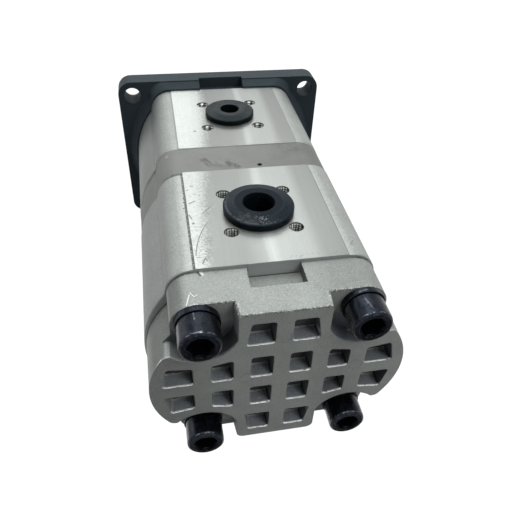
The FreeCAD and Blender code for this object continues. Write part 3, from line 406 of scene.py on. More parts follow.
def from_middle(f):
    """How far a point lies to the right of the bodies' middle plane, seen from the rear cover."""
    return f.less(f.x, BODY_MIDDLE)


def from_shaft(f):
    """How far a point lies from the drive shaft's middle line."""
    return f.far(f.x, f.z)


def from_bolt(f):
    """How far a point lies from the middle line of the nearest through bolt."""
    return f.far(f.less(f.size(from_middle(f)), BOLT_ACROSS), f.less(f.size(f.z), BOLT_HIGH))


def above_bolt(f):
    """How far a point lies above the middle line of the nearest through bolt."""
    return f.less(f.z, f.times(f.calc("SIGN", f.z), BOLT_HIGH))


def spot(f, x, y, z, radius, soft):
    """A mask of a round patch about a point."""
    node = f.add("ShaderNodeVectorMath", operation="DISTANCE")
    f.feed(node.inputs[0], f.place)
    node.inputs[1].default_value = (x, y, z)
    return f.rise(node.outputs["Value"], radius - soft, radius, 1.0, 0.0)


def spots(f, places, height):
    """A mask of several round patches at one height."""
    return f.most(*(spot(f, x, y, height, radius, soft) for x, y, radius, soft in places))


def line_mark(f, start, end, width, curve=0.0):
    """A mask of one thin mark between two points (x, y) on a top face, bowed by curve millimetres."""
    (x0, y0), (x1, y1) = start, end
    length = math.hypot(x1 - x0, y1 - y0)
    ux, uy = (x1 - x0) / length, (y1 - y0) / length
    dx, dy = f.less(f.x, x0), f.less(f.y, y0)
    run = f.plus(f.times(dx, ux), f.times(dy, uy))
    side = f.less(f.times(dx, uy), f.times(dy, ux))
    share = f.times(run, 1.0 / length)
    bow = f.times(share, f.less(1.0, share), 4.0 * curve)
    near = f.rise(f.size(f.less(side, bow)), width * 0.4, width, 1.0, 0.0)
    return f.times(near, f.within(run, 0.0, length, width))


def marks(f, lines):
    """A mask of several thin marks."""
    return f.most(*(line_mark(f, *line) for line in lines))


def cover_places(f):
    """Where a point lies on the rear cover, and masks of the cells, bolt recesses and their walls."""
    at = SimpleNamespace()
    at.nx, at.ny, at.nz = facing(f)
    at.across = from_middle(f)
    at.wide = f.size(at.across)
    at.behind = f.less(f.y, REAR_FACE)
    at.from_bolt = from_bolt(f)
    at.sides = f.rise(f.size(at.ny), 0.9, 0.6)
    in_seat = f.within(at.behind, 0.05, SEAT_DEPTH + 0.2, 0.05)
    at.recess = f.times(f.rise(at.from_bolt, RECESS_REACH + 0.6, RECESS_REACH), in_seat)
    above = above_bolt(f)
    at.high_recess = f.times(at.recess, f.rise(above, -6.0, 0.0))
    inner = f.most(f.rise(at.from_bolt, 15.6, 9.5), f.rise(at.wide, 35.0, 30.0))
    at.low_recess = f.times(at.recess, inner, f.rise(above, -1.0, -9.0))
    high = f.size(f.z)
    corner = f.times(f.rise(at.wide, *CORNER_SIDE), f.rise(high, *CORNER_HEIGHT))
    in_cell = f.times(f.within(at.behind, 0.05, CELL_DEPTH + 0.6, 0.05), f.rise(corner, 0.0, 1.0, 1.0, 0.0))
    at.cell = f.times(in_cell, f.rise(high, *CELL_TOP), f.rise(at.wide, *CELL_SIDE))
    at.cell_floor = f.times(at.cell, f.rise(at.ny, -0.8, -0.95))
    at.cell_sill = f.times(at.cell, f.rise(at.nz, 0.5, 0.8))
    beside_block = f.times(at.recess, f.rise(at.wide, 31.0, 28.0), f.rise(f.z, 0.0, 1.0, 0.0, 0.5))
    right_walls = f.most(f.times(at.cell, f.rise(at.across, -43.5, -43.0)), beside_block)
    at.right_wall = f.times(f.rise(at.nx, -0.35, -0.8), right_walls)
    return at


def cover_skin(f, at, fine, grit, pits):
    """How light the cover's skin is: grit on its sides; painted light and shade: a slope of light across
    its back, shade on the left shoulder and light on the sides that face left; and darker towards the
    right.
    """
    strength = f.plus(0.50, f.times(at.sides, 0.62))
    level = f.plus(0.90, f.times(at.sides, 0.10), f.times(f.less(fine, 0.5), strength))
    level = f.plus(level, f.times(f.less(f.grain(7.0, 3.0), 0.5), 0.30))
    level = f.plus(level, f.times(f.rise(grit, 0.60, 0.72), at.sides, 0.26))
    level = f.shade(level, pits, 0.80)
    slope = f.plus(f.rise(at.across, -45.0, -15.0, -0.24, 0.0), f.rise(at.across, -5.0, 45.0, 0.0, 0.38))
    level = f.times(level, f.between(at.sides, f.plus(slope, 0.98), 1.03))
    # Painted shade on the rounded left shoulder, painted light on the sides that face left
    left_shoulder = f.times(f.rise(at.nx, -0.15, -0.7), f.rise(at.nz, 0.15, 0.5))
    level = f.shade(level, left_shoulder, 0.54)
    left_side = f.rise(at.nx, -0.9, -1.0, 1.0, 1.1)
    return f.times(level, left_side, f.between(f.rise(at.across, 8.0, 22.0), 1.09, 0.84))


def cover_hollows(f, at, level):
    """Paints shade and light on the floors and walls of the cells, the bolt recesses and the notch: painted
    shade in the hollows, on the cell floors, the right walls, the lower recesses and the notch, and painted
    light on the cell sills and the upper recesses.
    """
    # Painted shade where the surroundings close in
    occluded_shade = f.rise(f.open_sky(9.0), 0.25, 0.95, 0.56, 0.96)
    level = f.times(level, f.between(f.most(at.cell, at.recess), 1.0, occluded_shade))
    level = f.shade(level, at.high_recess, 1.40)
    level = f.shade(level, at.low_recess, f.rise(at.across, -5.0, 5.0, 0.44, 0.85))
    level = f.shade(level, at.cell_floor, 0.42)
    level = f.shade(level, at.cell_sill, 1.26)
    level = f.shade(level, at.right_wall, 0.28)
    notch_wall = f.times(f.rise(at.nx, -0.5, -0.8), f.rise(at.wide, NOTCH_REACH, NOTCH_REACH - 0.5))
    notch_wall = f.times(notch_wall, f.rise(at.behind, 12.0, 12.3), f.rise(f.z, 0.0, 1.0))
    level = f.shade(level, notch_wall, 0.30)
    notch_floor = f.times(f.rise(at.nz, 0.6, 0.9), f.rise(at.wide, NOTCH_REACH + 0.1, NOTCH_REACH - 0.3))
    notch_floor = f.times(notch_floor, f.rise(f.y, -176.0, -175.0), f.within(f.z, 30.0, 36.2))
    return f.shade(level, notch_floor, 0.74)


def cover_lip(f, at, wear_and_highlight_breakup):
    """The bright lower lips of the cells, part wear and part a painted highlight where they face up, weaker
    towards the cover's ends and its bolt recesses.
    """
    lip = f.times(f.within(at.behind, -0.3, 0.62, 0.25), f.rise(at.nz, 0.3, 0.6), f.rise(f.z, 33.0, 32.0))
    lip = f.times(lip, wear_and_highlight_breakup, f.rise(at.wide, 42.0, 47.0, 0.95, 0.15))
    return f.times(lip, f.rise(at.from_bolt, 17.6, 16.8, 1.0, 0.2))


def cover_rim(f, at, edge, base):
    """Chips and painted glints along the upper edges of the cover's back."""
    over_seat = f.within(at.behind, SEAT_DEPTH, SEAT_DEPTH + 0.45, 0.4)
    over_seat = f.times(over_seat, f.within(at.wide, 16.0, 40.0))
    block_side = f.within(at.wide, BLOCK_HALF - 0.6, BLOCK_HALF, 0.3)
    block_side = f.times(block_side, f.rise(at.behind, SEAT_DEPTH + 0.4, SEAT_DEPTH))
    block_top = f.rise(at.wide, BLOCK_HALF + 0.3, BLOCK_HALF - 0.3)
    block_top = f.times(block_top, f.within(at.behind, -0.2, 0.35, 0.4))
    rim = f.times(f.most(block_top, over_seat, block_side), f.rise(f.z, 37.2, 37.6))
    rim = f.most(f.times(edge, f.rise(f.z, *COVER_TOP)), rim)
    chips = f.times(rim, f.rise(f.grain(0.9, 3.0, 0.8), 0.52, 0.44), 0.62)
    # Painted glints: bright specks along the upper edges
    edge_glints = f.times(rim, f.rise(f.grain(0.8, 2.0, 0.8), 0.55, 0.64), 0.9)
    return f.mix(edge_glints, f.mix(chips, base, CHIPPED), EDGE_GLINT)


def cover_front_edge(f, at, base):
    """The dark joint line in the notch and the shadowed front edge of the cover's shoulders."""
    joint = f.within(f.y, COVER_JOINT - 0.3, COVER_JOINT + 0.2, 0.15)
    joint = f.times(joint, f.rise(at.wide, 9.6, 9.0), f.rise(f.z, 35.6, 35.2))
    base = f.mix(joint, base, (0.03, 0.03, 0.03))
    shadow = f.times(f.rise(f.y, COVER_JOINT - 0.9, COVER_JOINT - 0.3), f.rise(at.wide, 27.0, 33.0))
    shadow = f.times(shadow, f.rise(f.grain(1.4, 3.0, 0.7), 0.34, 0.52, 0.3, 0.95))
    return f.mix(shadow, base, (0.045, 0.046, 0.046))


def ejector_rings(f, at, base):
    """Faint broken rings that the mould's ejector pins leave on the back."""
    rings = []
    for x, z in EJECTOR_MARKS:
        off_ring = f.size(f.less(f.far(f.less(f.x, x), f.less(f.z, z)), EJECTOR_RADIUS))
        rings.append(f.rise(off_ring, 0.12, 0.4, 1.0, 0.0))
    on_back = f.rise(at.behind, 0.06, 0.03)
    shown = f.times(f.most(*rings), on_back, f.rise(f.grain(1.6), 0.40, 0.55), 0.30)
    return f.mix(shown, base, (0.06, 0.06, 0.05))


def cover_nicks(f, grit, base):
    """Bright nicks on the top of the cover, with their shadows."""
    on_top = f.rise(f.z, *COVER_TOP)
    base = f.mix(f.times(marks(f, NICK_SHADOWS), on_top, 0.8), base, (0.06, 0.06, 0.06))
    nicks = f.times(marks(f, COVER_NICKS), on_top, f.rise(grit, 0.38, 0.5, 0.5, 0.95))
    return f.mix(nicks, base, NICKED)


def grey_casting():
    """Blasted die casting: bright grit, pockets darkened with painted shade, lips part worn and part
    painted highlight, and a chipped top edge with painted glints.
    """
    f = Finish("blasted_die_casting", metallic=0.05, roughness=0.6, shine=0.15)
    edge = f.soften(0.7)
    rounded_x = f.parts(f.normal)[0]
    fine = f.grain(0.55, 2.0, 0.75)
    grit = f.grain(0.9, 2.0, 0.8)
    pits = f.specks(1.3, 0.2)
    f.relief(fine, 0.22)
    f.relief(f.grain(1.8, 2.0), 0.12)
    f.relief(pits, -0.06)
    at = cover_places(f)
    level = cover_hollows(f, at, cover_skin(f, at, fine, grit, pits))
    # Painted shade: the shaded walls, floors and sills of the cells and the lower bolt recesses turn blue
    blue_shade_mask = f.times(f.most(at.right_wall, at.cell_floor, at.cell_sill), 0.5)
    blue_shade_mask = f.most(blue_shade_mask, f.times(at.low_recess, 0.9))
    base = f.mix(blue_shade_mask, f.tint(BLASTED, level), f.tint(BLUE_SHADE, level))
    # Patchy noise that breaks up the worn and highlighted lips and the crease highlight
    wear_and_highlight_breakup = f.rise(f.grain(1.3, 2.0, 0.6), 0.31, 0.43)
    lip = cover_lip(f, at, wear_and_highlight_breakup)
    # Bright lips of the cells: part wear, part painted highlight
    left_lip = f.times(edge, f.rise(rounded_x, 0.15, 0.5), at.cell, 0.405)
    base = f.mix(f.most(lip, left_lip), base, WORN_LIP_AND_HIGHLIGHT)
    # Painted highlight along the crease where the cell floors meet the sills
    crease_highlight = f.times(f.within(at.behind, CELL_DEPTH - 0.75, CELL_DEPTH - 0.1, 0.2), at.cell_sill, wear_and_highlight_breakup, 0.6)
    base = f.mix(crease_highlight, base, CREASE_HIGHLIGHT)
    base = cover_rim(f, at, edge, base)
    base = cover_front_edge(f, at, base)
    base = ejector_rings(f, at, base)
    base = cover_nicks(f, grit, base)
    return f.done(base, f.rise(fine, 0.3, 0.7, 0.46, 0.62), f.plus(0.05, f.times(lip, 0.75)))


def light_bands(f, across, travel):
    """The bands of light on the port faces: they shift and ripple, and change from front to rear."""
    shifted = f.plus(across, f.times(f.less(7.0, f.times(across, 0.23)), travel))
    ripple = f.times(f.less(f.grain(1.3, 3.0, 0.75), 0.5), f.rise(across, -8.0, -13.0, 1.5, 9.0))
    shifted = f.plus(shifted, ripple)
    return f.mix(travel, f.bands(shifted, FRONT_BANDS), f.bands(shifted, REAR_BANDS))


def port_face_dots(f, across):
    """A mask of dark dots: single ones, speckled patches, a thin scatter and a row along the rear end."""
    speckle = f.times(spots(f, SPECKLED_PATCHES, PORT_TOP), f.rise(f.grain(0.8, 2.0, 0.8), 0.53, 0.60))
    scatter = f.times(f.specks(3.7, 0.07), f.rise(f.grain(9.0, 2.0), 0.50, 0.58, 0.0, 0.6))
    row = f.times(f.within(f.y, *DOT_ROW, 0.3), f.rise(across, 4.0, 8.0), f.specks(1.3, 0.24), 0.8)
    return f.most(spots(f, PORT_FACE_DOTS, PORT_TOP), f.times(speckle, 0.75), scatter, row)


def machined_face(f, across, travel):
    """The colour of the port faces: cutter lines under bands of light, a mottled left side, scratches."""
    cutter = f.plus(0.90, f.times(f.grain(0.5, 3.0, 0.6, CUTTER_LINES), 0.20))
    base = f.tint(MACHINED, f.times(cutter, f.rise(f.y, -100.0, -160.0, 0.90, 1.12)))
    base = f.tint(base, light_bands(f, across, travel))
    mottle = f.times(f.rise(across, -12.0, -20.0), f.rise(f.grain(1.2, 3.0, 0.85), 0.53, 0.62))
    base = f.mix(f.times(mottle, f.plus(0.30, f.times(travel, 0.35))), base, MOTTLE)
    scratches = f.times(marks(f, PORT_FACE_SCRATCHES), f.rise(f.z, 0.0, 1.0))
    return f.mix(f.times(f.most(scratches, port_face_dots(f, across)), 0.82), base, SCRATCHED)


def drawn_skin(f, skin, across, travel, nx):
    """The colour of the drawn surface: grain and die lines, lighter towards the rear; a strip beside the
    faces, painted darker at the front and lighter at the rear; darker flanks, painted shade.
    """
    level = f.plus(0.24, f.times(skin, 0.22), f.times(f.grain(9.0, 3.0), 0.28), f.grain(1.0, 3.0, 0.85))
    base = f.tint(DRAWN, f.shade(level, f.specks(2.3, 0.13), 0.72))
    base = f.tint(base, f.plus(1.06, f.times(travel, 0.24)))
    # Painted shade and light in the strip beside the port faces: darker at the front, lighter at the rear
    strip = f.rise(travel, 0.2, 0.9, 0.90, 1.10)
    base = f.tint(base, f.rise(f.size(across), PORT_HALF + 1.0, PORT_HALF + 4.5, strip, 1.0))
    # Painted shade on the flanks, which face sideways
    flank = f.rise(f.y, -52.0, -72.0, 0.50, f.rise(f.y, -80.0, -104.0, 0.42, 0.58))
    return f.tint(base, f.rise(f.size(nx), 0.45, 0.95, 1.0, flank))


def face_steps(f, across, base):
    """Dark lines in the steps beside the port faces, with three nicks in the rear left one."""
    rear = f.rise(f.y, PLATE_FRONT, PLATE_BACK)
    left = f.within(across, -PORT_HALF - 0.7, -PORT_HALF + 0.05, 0.25)
    left = f.times(left, f.plus(0.22, f.times(rear, 0.78)))
    left = f.most(left, f.times(rear, spots(f, STEP_NICKS, PORT_TOP - 0.2)))
    right = f.times(f.within(across, PORT_HALF - 0.1, PORT_HALF + 0.25, 0.12), rear, 0.7)
    ragged = f.plus(0.30, f.rise(f.grain(0.9, 3.0, 0.7), 0.34, 0.50, 0.0, 0.65))
    steps = f.times(f.most(left, right), f.rise(f.size(f.z), *STEP_HEIGHT), ragged)
    return f.mix(steps, base, (0.04, 0.042, 0.044))


def beside_plate(f, nx, least):
    """Strong where the flanks turn downward beside the plate and falls to least away from there."""
    near_turn = f.rise(f.size(f.less(f.z, FLANK_TURN)), 8.0, 5.0, least, 0.9)
    return f.times(f.rise(f.size(nx), 0.3, 0.6), near_turn)


def body_seams(f, across, nx, base):
    """Dark seams against the plate: a broken one on the rear left shoulder, thin ones on the flanks."""
    seam = f.times(f.within(across, -40.5, -28.8, 0.5), f.rise(f.z, 24.0, 33.0))
    seam = f.times(seam, f.within(f.y, PLATE_BACK - 1.4, PLATE_BACK + 0.1, 0.5))
    broken = f.rise(f.grain(2.0, 2.0), 0.30, 0.44, 0.6, 1.0)
    base = f.mix(f.times(seam, broken, 0.85), base, (0.035, 0.036, 0.036))
    rear = f.within(f.y, PLATE_BACK - 1.0, PLATE_BACK - 0.1, 0.3)
    front = f.within(f.y, PLATE_FRONT, PLATE_FRONT + 1.5, 0.5)
    return f.mix(f.times(f.most(rear, front), beside_plate(f, nx, 0.15)), base, (0.07, 0.072, 0.07))


def body_ends(f, across, ny, base):
    """The cut ends: matt, with painted light: lighter behind the notches and bright at the front of the
    plate.
    """
    ends = f.rise(f.size(ny), 0.9, 0.98)
    base = f.mix(ends, base, f.tint(CUT_END, f.rise(f.size(across), 9.8, 9.2, 1.0, 1.35)))
    # Painted light: the end face in front of the plate is made bright
    at_plate = f.times(ends, f.within(f.y, PLATE_FRONT - 0.3, PLATE_FRONT + 0.3))
    return f.mix(at_plate, base, (0.90, 0.92, 0.90))


def extrusion():
    """Drawn aluminium with die lines along it, and machined, scratched faces round the ports."""
    f = Finish("drawn_aluminium", metallic=0.35, roughness=0.45)
    f.soften(0.25)
    nx, ny, nz = facing(f)
    across = from_middle(f)
    travel = f.rise(f.y, *PUMP_LENGTH)
    f.round_more(f.times(f.rise(f.size(across), 31.0, 34.0), f.rise(f.size(ny), 0.9, 0.7)), 2.5)
    skin = f.grain(0.8, 3.0, 0.6, DIE_LINES)
    high = f.size(f.z)
    face = f.times(f.rise(high, PORT_TOP - 0.2, PORT_TOP - 0.1), f.rise(f.size(nz), 0.9, 0.98))
    base = f.mix(face, drawn_skin(f, skin, across, travel, nx), machined_face(f, across, travel))
    base = face_steps(f, across, base)
    rubs = f.times(marks(f, SHOULDER_RUBS), f.rise(f.z, 37.0, 38.0), 0.45)
    base = f.mix(rubs, base, (0.12, 0.12, 0.12))
    base = body_seams(f, across, nx, base)
    base = body_ends(f, across, ny, base)
    # Painted shade: the walls inside the holes are nearly black
    in_holes = f.times(f.rise(high, PORT_TOP - 0.25, PORT_TOP - 0.6), f.rise(high, 22.0, 23.0))
    in_holes = f.times(in_holes, f.rise(f.size(across), HOLES_REACH, HOLES_REACH - 1.0))
    in_holes = f.times(in_holes, f.rise(f.size(ny), 0.97, 0.9))
    base = f.mix(in_holes, base, (0.05, 0.05, 0.05))
    f.relief(f.grain(0.35, 2.0, 0.6), 0.012)
    f.relief(skin, 0.02)
    return f.done(base, f.between(face, 0.46, 0.36), f.between(face, 0.3, 0.5))


def plate_smudges(f):
    """A mask of the oily smudges: blobs and a smear on a faint patch."""
    blobs = f.most(marks(f, PLATE_SMUDGES), f.times(marks(f, PLATE_SMEAR), 0.6))
    blobs = f.times(blobs, f.rise(f.grain(1.5, 3.0, 0.7), 0.25, 0.60, 0.15, 1.0))
    patch = f.times(spot(f, -25.0, -94.4, 39.5, 8.5, 7.0), f.rise(f.grain(3.0), 0.42, 0.62, 0.0, 0.35))
    return f.most(blobs, patch)


def plate_casting():
    """Matte cast plate with oily smudges on its top, a leak hole and a seam on each flank; painted shade on
    the faces that do not face up and inside the leak hole, and a painted glint.
    """
    f = Finish("cast_plate", metallic=0.08, roughness=0.55, shine=0.25)
    f.soften(0.3)
    nx, _, nz = facing(f)
    fine = f.grain(0.5, 2.0, 0.6)
    f.relief(fine, 0.05)
    level = f.plus(0.64, f.times(fine, 0.26), f.times(f.grain(10.0, 3.0), 0.40))
    # Darker towards the right; painted shade on the faces that do not face up
    level = f.times(level, f.rise(from_middle(f), -5.0, 28.0, 1.0, 0.79), f.rise(nz, 0.9, 0.2, 1.0, 0.87))
    base = f.tint(PLATE_GREY, level)
    seam = f.times(f.within(f.y, PLATE_FRONT - 0.7, PLATE_FRONT, 0.4), beside_plate(f, nx, 0.1))
    base = f.mix(seam, base, (0.035, 0.037, 0.037))
    smudge = plate_smudges(f)
    right = f.times(spot(f, 9.0, -84.0, 39.0, 9.0, 8.0), f.rise(f.grain(3.0, 3.0, 0.6), 0.40, 0.66), 0.45)
    base = f.mix(f.most(f.times(smudge, 0.88), right), base, OILY)
    # Painted shade inside the leak hole
    hole = f.times(spot(f, *LEAK_HOLE, 1.35, 0.1), f.rise(f.z, 39.45, 39.3))
    base = f.mix(hole, base, (0.004, 0.004, 0.004))
    # Painted glint
    glint = f.times(spot(f, -50.6, -83.6, 39.0, 1.5, 1.3), 0.8)
    base = f.mix(glint, base, (0.75, 0.76, 0.74))
    return f.done(base, f.rise(smudge, 0.0, 1.0, 0.56, 0.50))


def black_casting():
    """Black satin paint on a casting, with its mounting face and pilot machined bare."""
    f = Finish("black_paint", metallic=0.0, roughness=0.5, shine=0.05)
    edge = f.soften(0.5)
    fine = f.grain(0.6, 2.0, 0.6)
    f.relief(fine, 0.05)
    f.relief(f.grain(3.0, 2.0), 0.12)
    paint = f.tint(PAINT, f.plus(0.66, f.times(fine, 0.3), f.times(f.grain(12.0, 3.0), 0.4)))
    paint = f.mix(f.times(edge, 0.35), paint, PAINT_EDGE)
    bare = f.rise(f.y, -0.6, -0.3)
    rings = f.turned(from_shaft(f), 0.7)
    f.relief(f.times(rings, bare), 0.03)
    level = f.plus(0.55, f.times(rings, 0.45), f.times(f.turned(from_shaft(f), 5.0), 0.45))
    iron = f.tint(IRON, f.times(level, f.rise(f.y, 0.4, 2.0, 0.94, 1.04)))
    roughness = f.between(bare, 0.52, f.rise(rings, 0.3, 0.7, 0.28, 0.44))
    return f.done(f.mix(bare, paint, iron), roughness, f.between(bare, 0.0, 0.7))


def head_rubs_and_highlights(f, along, side, nx, crown):
    """A mask of bright marks: broken lines on the crown, part bare steel and part painted highlight; a
    painted reflection in a strip on the left; single marks, part rubbed and part painted highlight.
    """
    lines = f.most(f.within(along, 0.75, 1.0, 0.2), f.times(f.within(along, -0.1, 0.25, 0.12), 0.9))
    broken = f.rise(f.grain(1.5, 3.0, 0.6), 0.44, 0.58)
    # The lines are brighter where the crown faces up: painted highlight
    lines = f.times(lines, f.plus(0.03, f.times(crown, 0.17)), broken)
    # Painted reflection in a strip on the left side of the heads
    strip = f.times(side, f.rise(nx, -0.84, -0.95), f.within(along, *SIDE_STRIP, 0.4), 0.2)
    single = f.times(marks(f, HEAD_RUB_HIGHLIGHTS), f.rise(f.z, 34.0, 35.0))
    single = f.times(single, f.rise(f.grain(1.2), 0.36, 0.56, 0.04, 0.14))
    return f.most(lines, strip, single)


def black_steel():
    """Black oxide on steel, oiled: bluish sides and almost black ends, painted shade, with painted shade
    where the sides face down and in the sockets, painted sheen in streaks, painted light on the tops of the
    end rims, painted glints on the crowns, and rubs and painted highlights here and there.
    """
    f = Finish("black_oxide", metallic=0.0, roughness=0.32, shine=0.02)
    f.soften(0.35)
    nx, ny, nz = facing(f)
    f.relief(f.grain(1.3, 3.0), 0.05)
    f.relief(f.grain(0.6, 3.0, 0.65), 0.02)
    reach = from_bolt(f)
    along = f.less(f.y, BOLT_END)
    end = f.most(f.rise(f.size(ny), 0.8, 0.95), f.rise(reach, *HEAD_FLAT))
    side = f.times(f.rise(reach, *HEAD_SIDE), f.rise(end, 0.0, 1.0, 1.0, 0.0))
    socket_wall = f.times(f.rise(along, 0.1, 0.3), f.rise(f.size(ny), 0.6, 0.4))
    socket = f.times(f.rise(reach, *SOCKET_WALL), f.most(socket_wall, f.rise(along, 2.0, 2.5)))
    # Painted sheen in streaks along the heads
    level = f.plus(0.05, f.times(f.grain(1.1, 3.0, 0.6, HEAD_SHEEN_STREAKS), 1.7))
    # Painted shade where the heads face down
    level = f.times(level, f.rise(nz, -0.2, 0.95, 0.55, 1.0))
    # Painted light on the top of the rims at the ends
    ring = f.times(f.rise(f.size(ny), 0.45, 0.65), f.rise(along, 2.0, 1.5))
    ring = f.times(ring, f.rise(above_bolt(f), -6.0, 5.0, 1.0, 9.0))
    # Painted shade: the ends are almost black
    shaded_end = f.tint(SHADED_OXIDE_END, f.times(level, f.most(ring, 0.6)))
    base = f.mix(end, f.tint(OXIDE_SIDE, level), shaded_end)
    crown = f.rise(nz, 0.55, 0.9)
    # Rubs, painted highlights and a painted reflection on the heads
    base = f.mix(f.times(head_rubs_and_highlights(f, along, side, nx, crown), 0.9), base, OXIDE_RUB_AND_HIGHLIGHT)
    # Painted glints on the crowns
    crown_glints = f.times(f.specks(0.9, 0.2), f.rise(f.grain(2.6, 3.0), 0.56, 0.66), crown, 0.3)
    base = f.mix(crown_glints, base, OXIDE_GLINT)
    # Painted shade: the sockets are almost black
    base = f.mix(socket, base, (0.0015, 0.0020, 0.0035))
    oily = f.rise(f.grain(2.5, 3.0), 0.3, 0.7, 0.20, 0.40)
    return f.done(base, f.between(socket, oily, 0.7), f.rise(f.most(end, socket), 0.0, 1.0, 0.85, 0.0))


def plug_glints(f):
    """A mask of painted glints: a wide cloud and a dense one on the rear plug's ridge, and one apart."""
    wide = f.times(spot(f, -16.2, REAR_PORT - 11.0, RIDGE_HEIGHT, 4.4, 3.0), f.specks(0.8, 0.28))
    wide = f.times(wide, f.rise(f.grain(1.1), 0.44, 0.56, 0.1, 0.8))
    dense = f.times(spot(f, -15.8, REAR_PORT - 11.2, RIDGE_HEIGHT, 2.4, 1.6), f.specks(0.55, 0.38))
    return f.most(wide, dense, spot(f, -25.4, REAR_PORT - 3.1, RIDGE_HEIGHT, 0.45, 0.3))


def plug_plastic():
    """Semi-gloss black moulded plastic, dusty, with painted glints on the ridge of the rear plug, painted
    sheen, painted highlights on the upper edges and painted shade on the sides.
    """
    f = Finish("black_plastic", metallic=0.0, roughness=0.34, shine=0.06)
    edge = f.soften(0.3)
    nz = facing(f)[2]
    f.relief(f.grain(0.8, 3.0, 0.7), 0.035)
    # Painted shade: the sides are darker than the flat faces
    flat = f.rise(f.size(nz), 0.25, 0.6, 0.45, 1.0)
    base = f.tint(PLUG_BLACK, f.times(flat, f.plus(0.72, f.times(f.grain(6.0), 0.5))))
    # Painted highlight on the edges that face up
    base = f.mix(f.times(edge, f.rise(nz, 0.1, 0.6), 0.16), base, PLUG_EDGE_HIGHLIGHT)
    dust = f.times(f.specks(1.5, 0.15), f.rise(f.grain(4.0), 0.50, 0.6, 0.0, 0.30))
    base = f.mix(dust, base, PLUG_DUST)
    dx, dy = from_middle(f), f.less(f.y, REAR_PORT)
    from_plug = f.far(dx, dy)
    top = f.rise(f.z, PORT_TOP + 1.5, PORT_TOP + 2.0)
    dish = f.times(f.within(from_plug, *DISH_RING, 0.6), top, 0.55)
    base = f.mix(dish, base, PLUG_DISH)
    # Painted sheen on the rim towards the left and the front
    rim = f.times(f.within(from_plug, *RIM_RING, 0.3), f.rise(f.plus(dx, dy), -2.0, -9.0), top, 0.16)
    base = f.mix(f.times(rim, f.rise(f.grain(3.0), 0.42, 0.55)), base, PLUG_SHEEN)
    # Painted sheen: a soft glow beside the ridge
    glow_sheen = spot(f, -21.5, REAR_PORT - 9.0, RIDGE_HEIGHT, 6.0, 5.0)
    base = f.mix(f.times(glow_sheen, f.rise(f.grain(1.4, 3.0, 0.7), 0.42, 0.66), 0.15), base, PLUG_GLOW_SHEEN)
    # Painted glints on the ridge
    base = f.mix(f.times(plug_glints(f), 0.62), base, PLUG_GLINT)
    base = f.mix(f.rise(f.y, PLATE_BACK, PLATE_FRONT, 0.0, 0.6), base, PLUG_GREEN)
    return f.done(base, f.between(dish, f.rise(f.grain(3.0), 0.3, 0.7, 0.27, 0.42), 0.9))


def bright_steel():
    """Ground and turned steel of the shaft, nut, key and gears."""
    f = Finish("ground_steel", metallic=0.9, roughness=0.3)
    f.soften(0.2)
    across_axis = f.rise(f.size(facing(f)[1]), 0.9, 0.98)
    cut = f.between(across_axis, f.grain(0.4, 3.0, 0.6, GRINDING_LINES), f.turned(from_shaft(f), 0.5))
    f.relief(cut, 0.012)
    return f.done(f.tint(GROUND_STEEL, f.plus(0.80, f.times(cut, 0.4))), f.rise(cut, 0.3, 0.7, 0.24, 0.38))


def cut_thread():
    """The walls of the port screw holes: painted stripes of light, narrow at the rear and broad at the
    front, with painted shade between them and deeper down.
    """
    f = Finish("cut_thread", metallic=0.35, roughness=0.35)
    across = f.less(f.size(from_middle(f)), SCREW_PITCH / 2)
    front = f.rise(f.y, PLATE_BACK, PLATE_FRONT)
    narrow = f.calc("SINE", f.times(f.plus(across, 0.15), 2 * math.pi / NARROW_STRIPE))
    broad = f.calc("SINE", f.times(f.plus(across, 0.6), 2 * math.pi / BROAD_STRIPE))
    comb = f.plus(f.times(narrow, f.less(1.0, front)), f.times(broad, front))
    lit = f.times(f.rise(comb, -0.35, 0.35), f.rise(f.grain(0.8), 0.34, 0.5, 0.5, 1.0))
    # Painted shade: the stripes of light fade deeper in the holes
    lit = f.times(lit, f.rise(f.size(f.z), PORT_TOP - 5.5, PORT_TOP - 3.0))
    deep = f.mix(front, (0.05, 0.052, 0.048), (0.10, 0.11, 0.105))
    bright = f.mix(front, (0.52, 0.55, 0.52), (0.78, 0.81, 0.78))
    return f.done(f.mix(lit, deep, bright))


def plain(name, colour, metallic, roughness):
    """A finish of one colour with a fine grain, for pieces inside the casing."""
    f = Finish(name, metallic, roughness)
    fine = f.grain(0.6, 3.0, 0.6)
    f.relief(fine, 0.02)
    shiny, dull = roughness - 0.06, roughness + 0.06
    return f.done(f.tint(colour, f.plus(0.85, f.times(fine, 0.3))), f.rise(fine, 0.3, 0.7, shiny, dull))


def dress_nodes():
    """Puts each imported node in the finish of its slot."""
    finishes = {
        "black_casting": black_casting(),
        "extrusion": extrusion(),
        "plate_casting": plate_casting(),
        "grey_casting": grey_casting(),
        "black_steel": black_steel(),
        "bright_steel": bright_steel(),
        "spring_steel": plain("phosphated_steel", (0.10, 0.10, 0.105), 0.5, 0.45),
        "bearing_metal": plain("bearing_alloy", (0.50, 0.51, 0.51), 0.6, 0.38),
        "bronze": plain("bearing_bronze", (0.50, 0.34, 0.16), 0.8, 0.35),
        "seal_rubber": plain("nitrile_rubber", (0.025, 0.025, 0.026), 0.0, 0.6),
        "backup_plastic": plain("white_backup_plastic", (0.70, 0.69, 0.64), 0.0, 0.5),
        "plug_plastic": plug_plastic(),
    }
    for part in frame["record"]["subparts"]:
        for place in frame["nodes"][part["node"]].material_slots:
            place.material = finishes[part["material_slot"]]


def mesh_piece(name, points, faces, material, body):
    """A new piece from arrays of points (in millimetres) and faces, riding on a body."""
    mesh = bpy.data.meshes.new(name)
    mesh.from_pydata((points * MM).tolist(), [], faces.tolist())
    mesh.validate()
    mesh.materials.append(material)
    item = bpy.data.objects.new(name, mesh)
    bpy.context.collection.objects.link(item)
    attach(item, body)


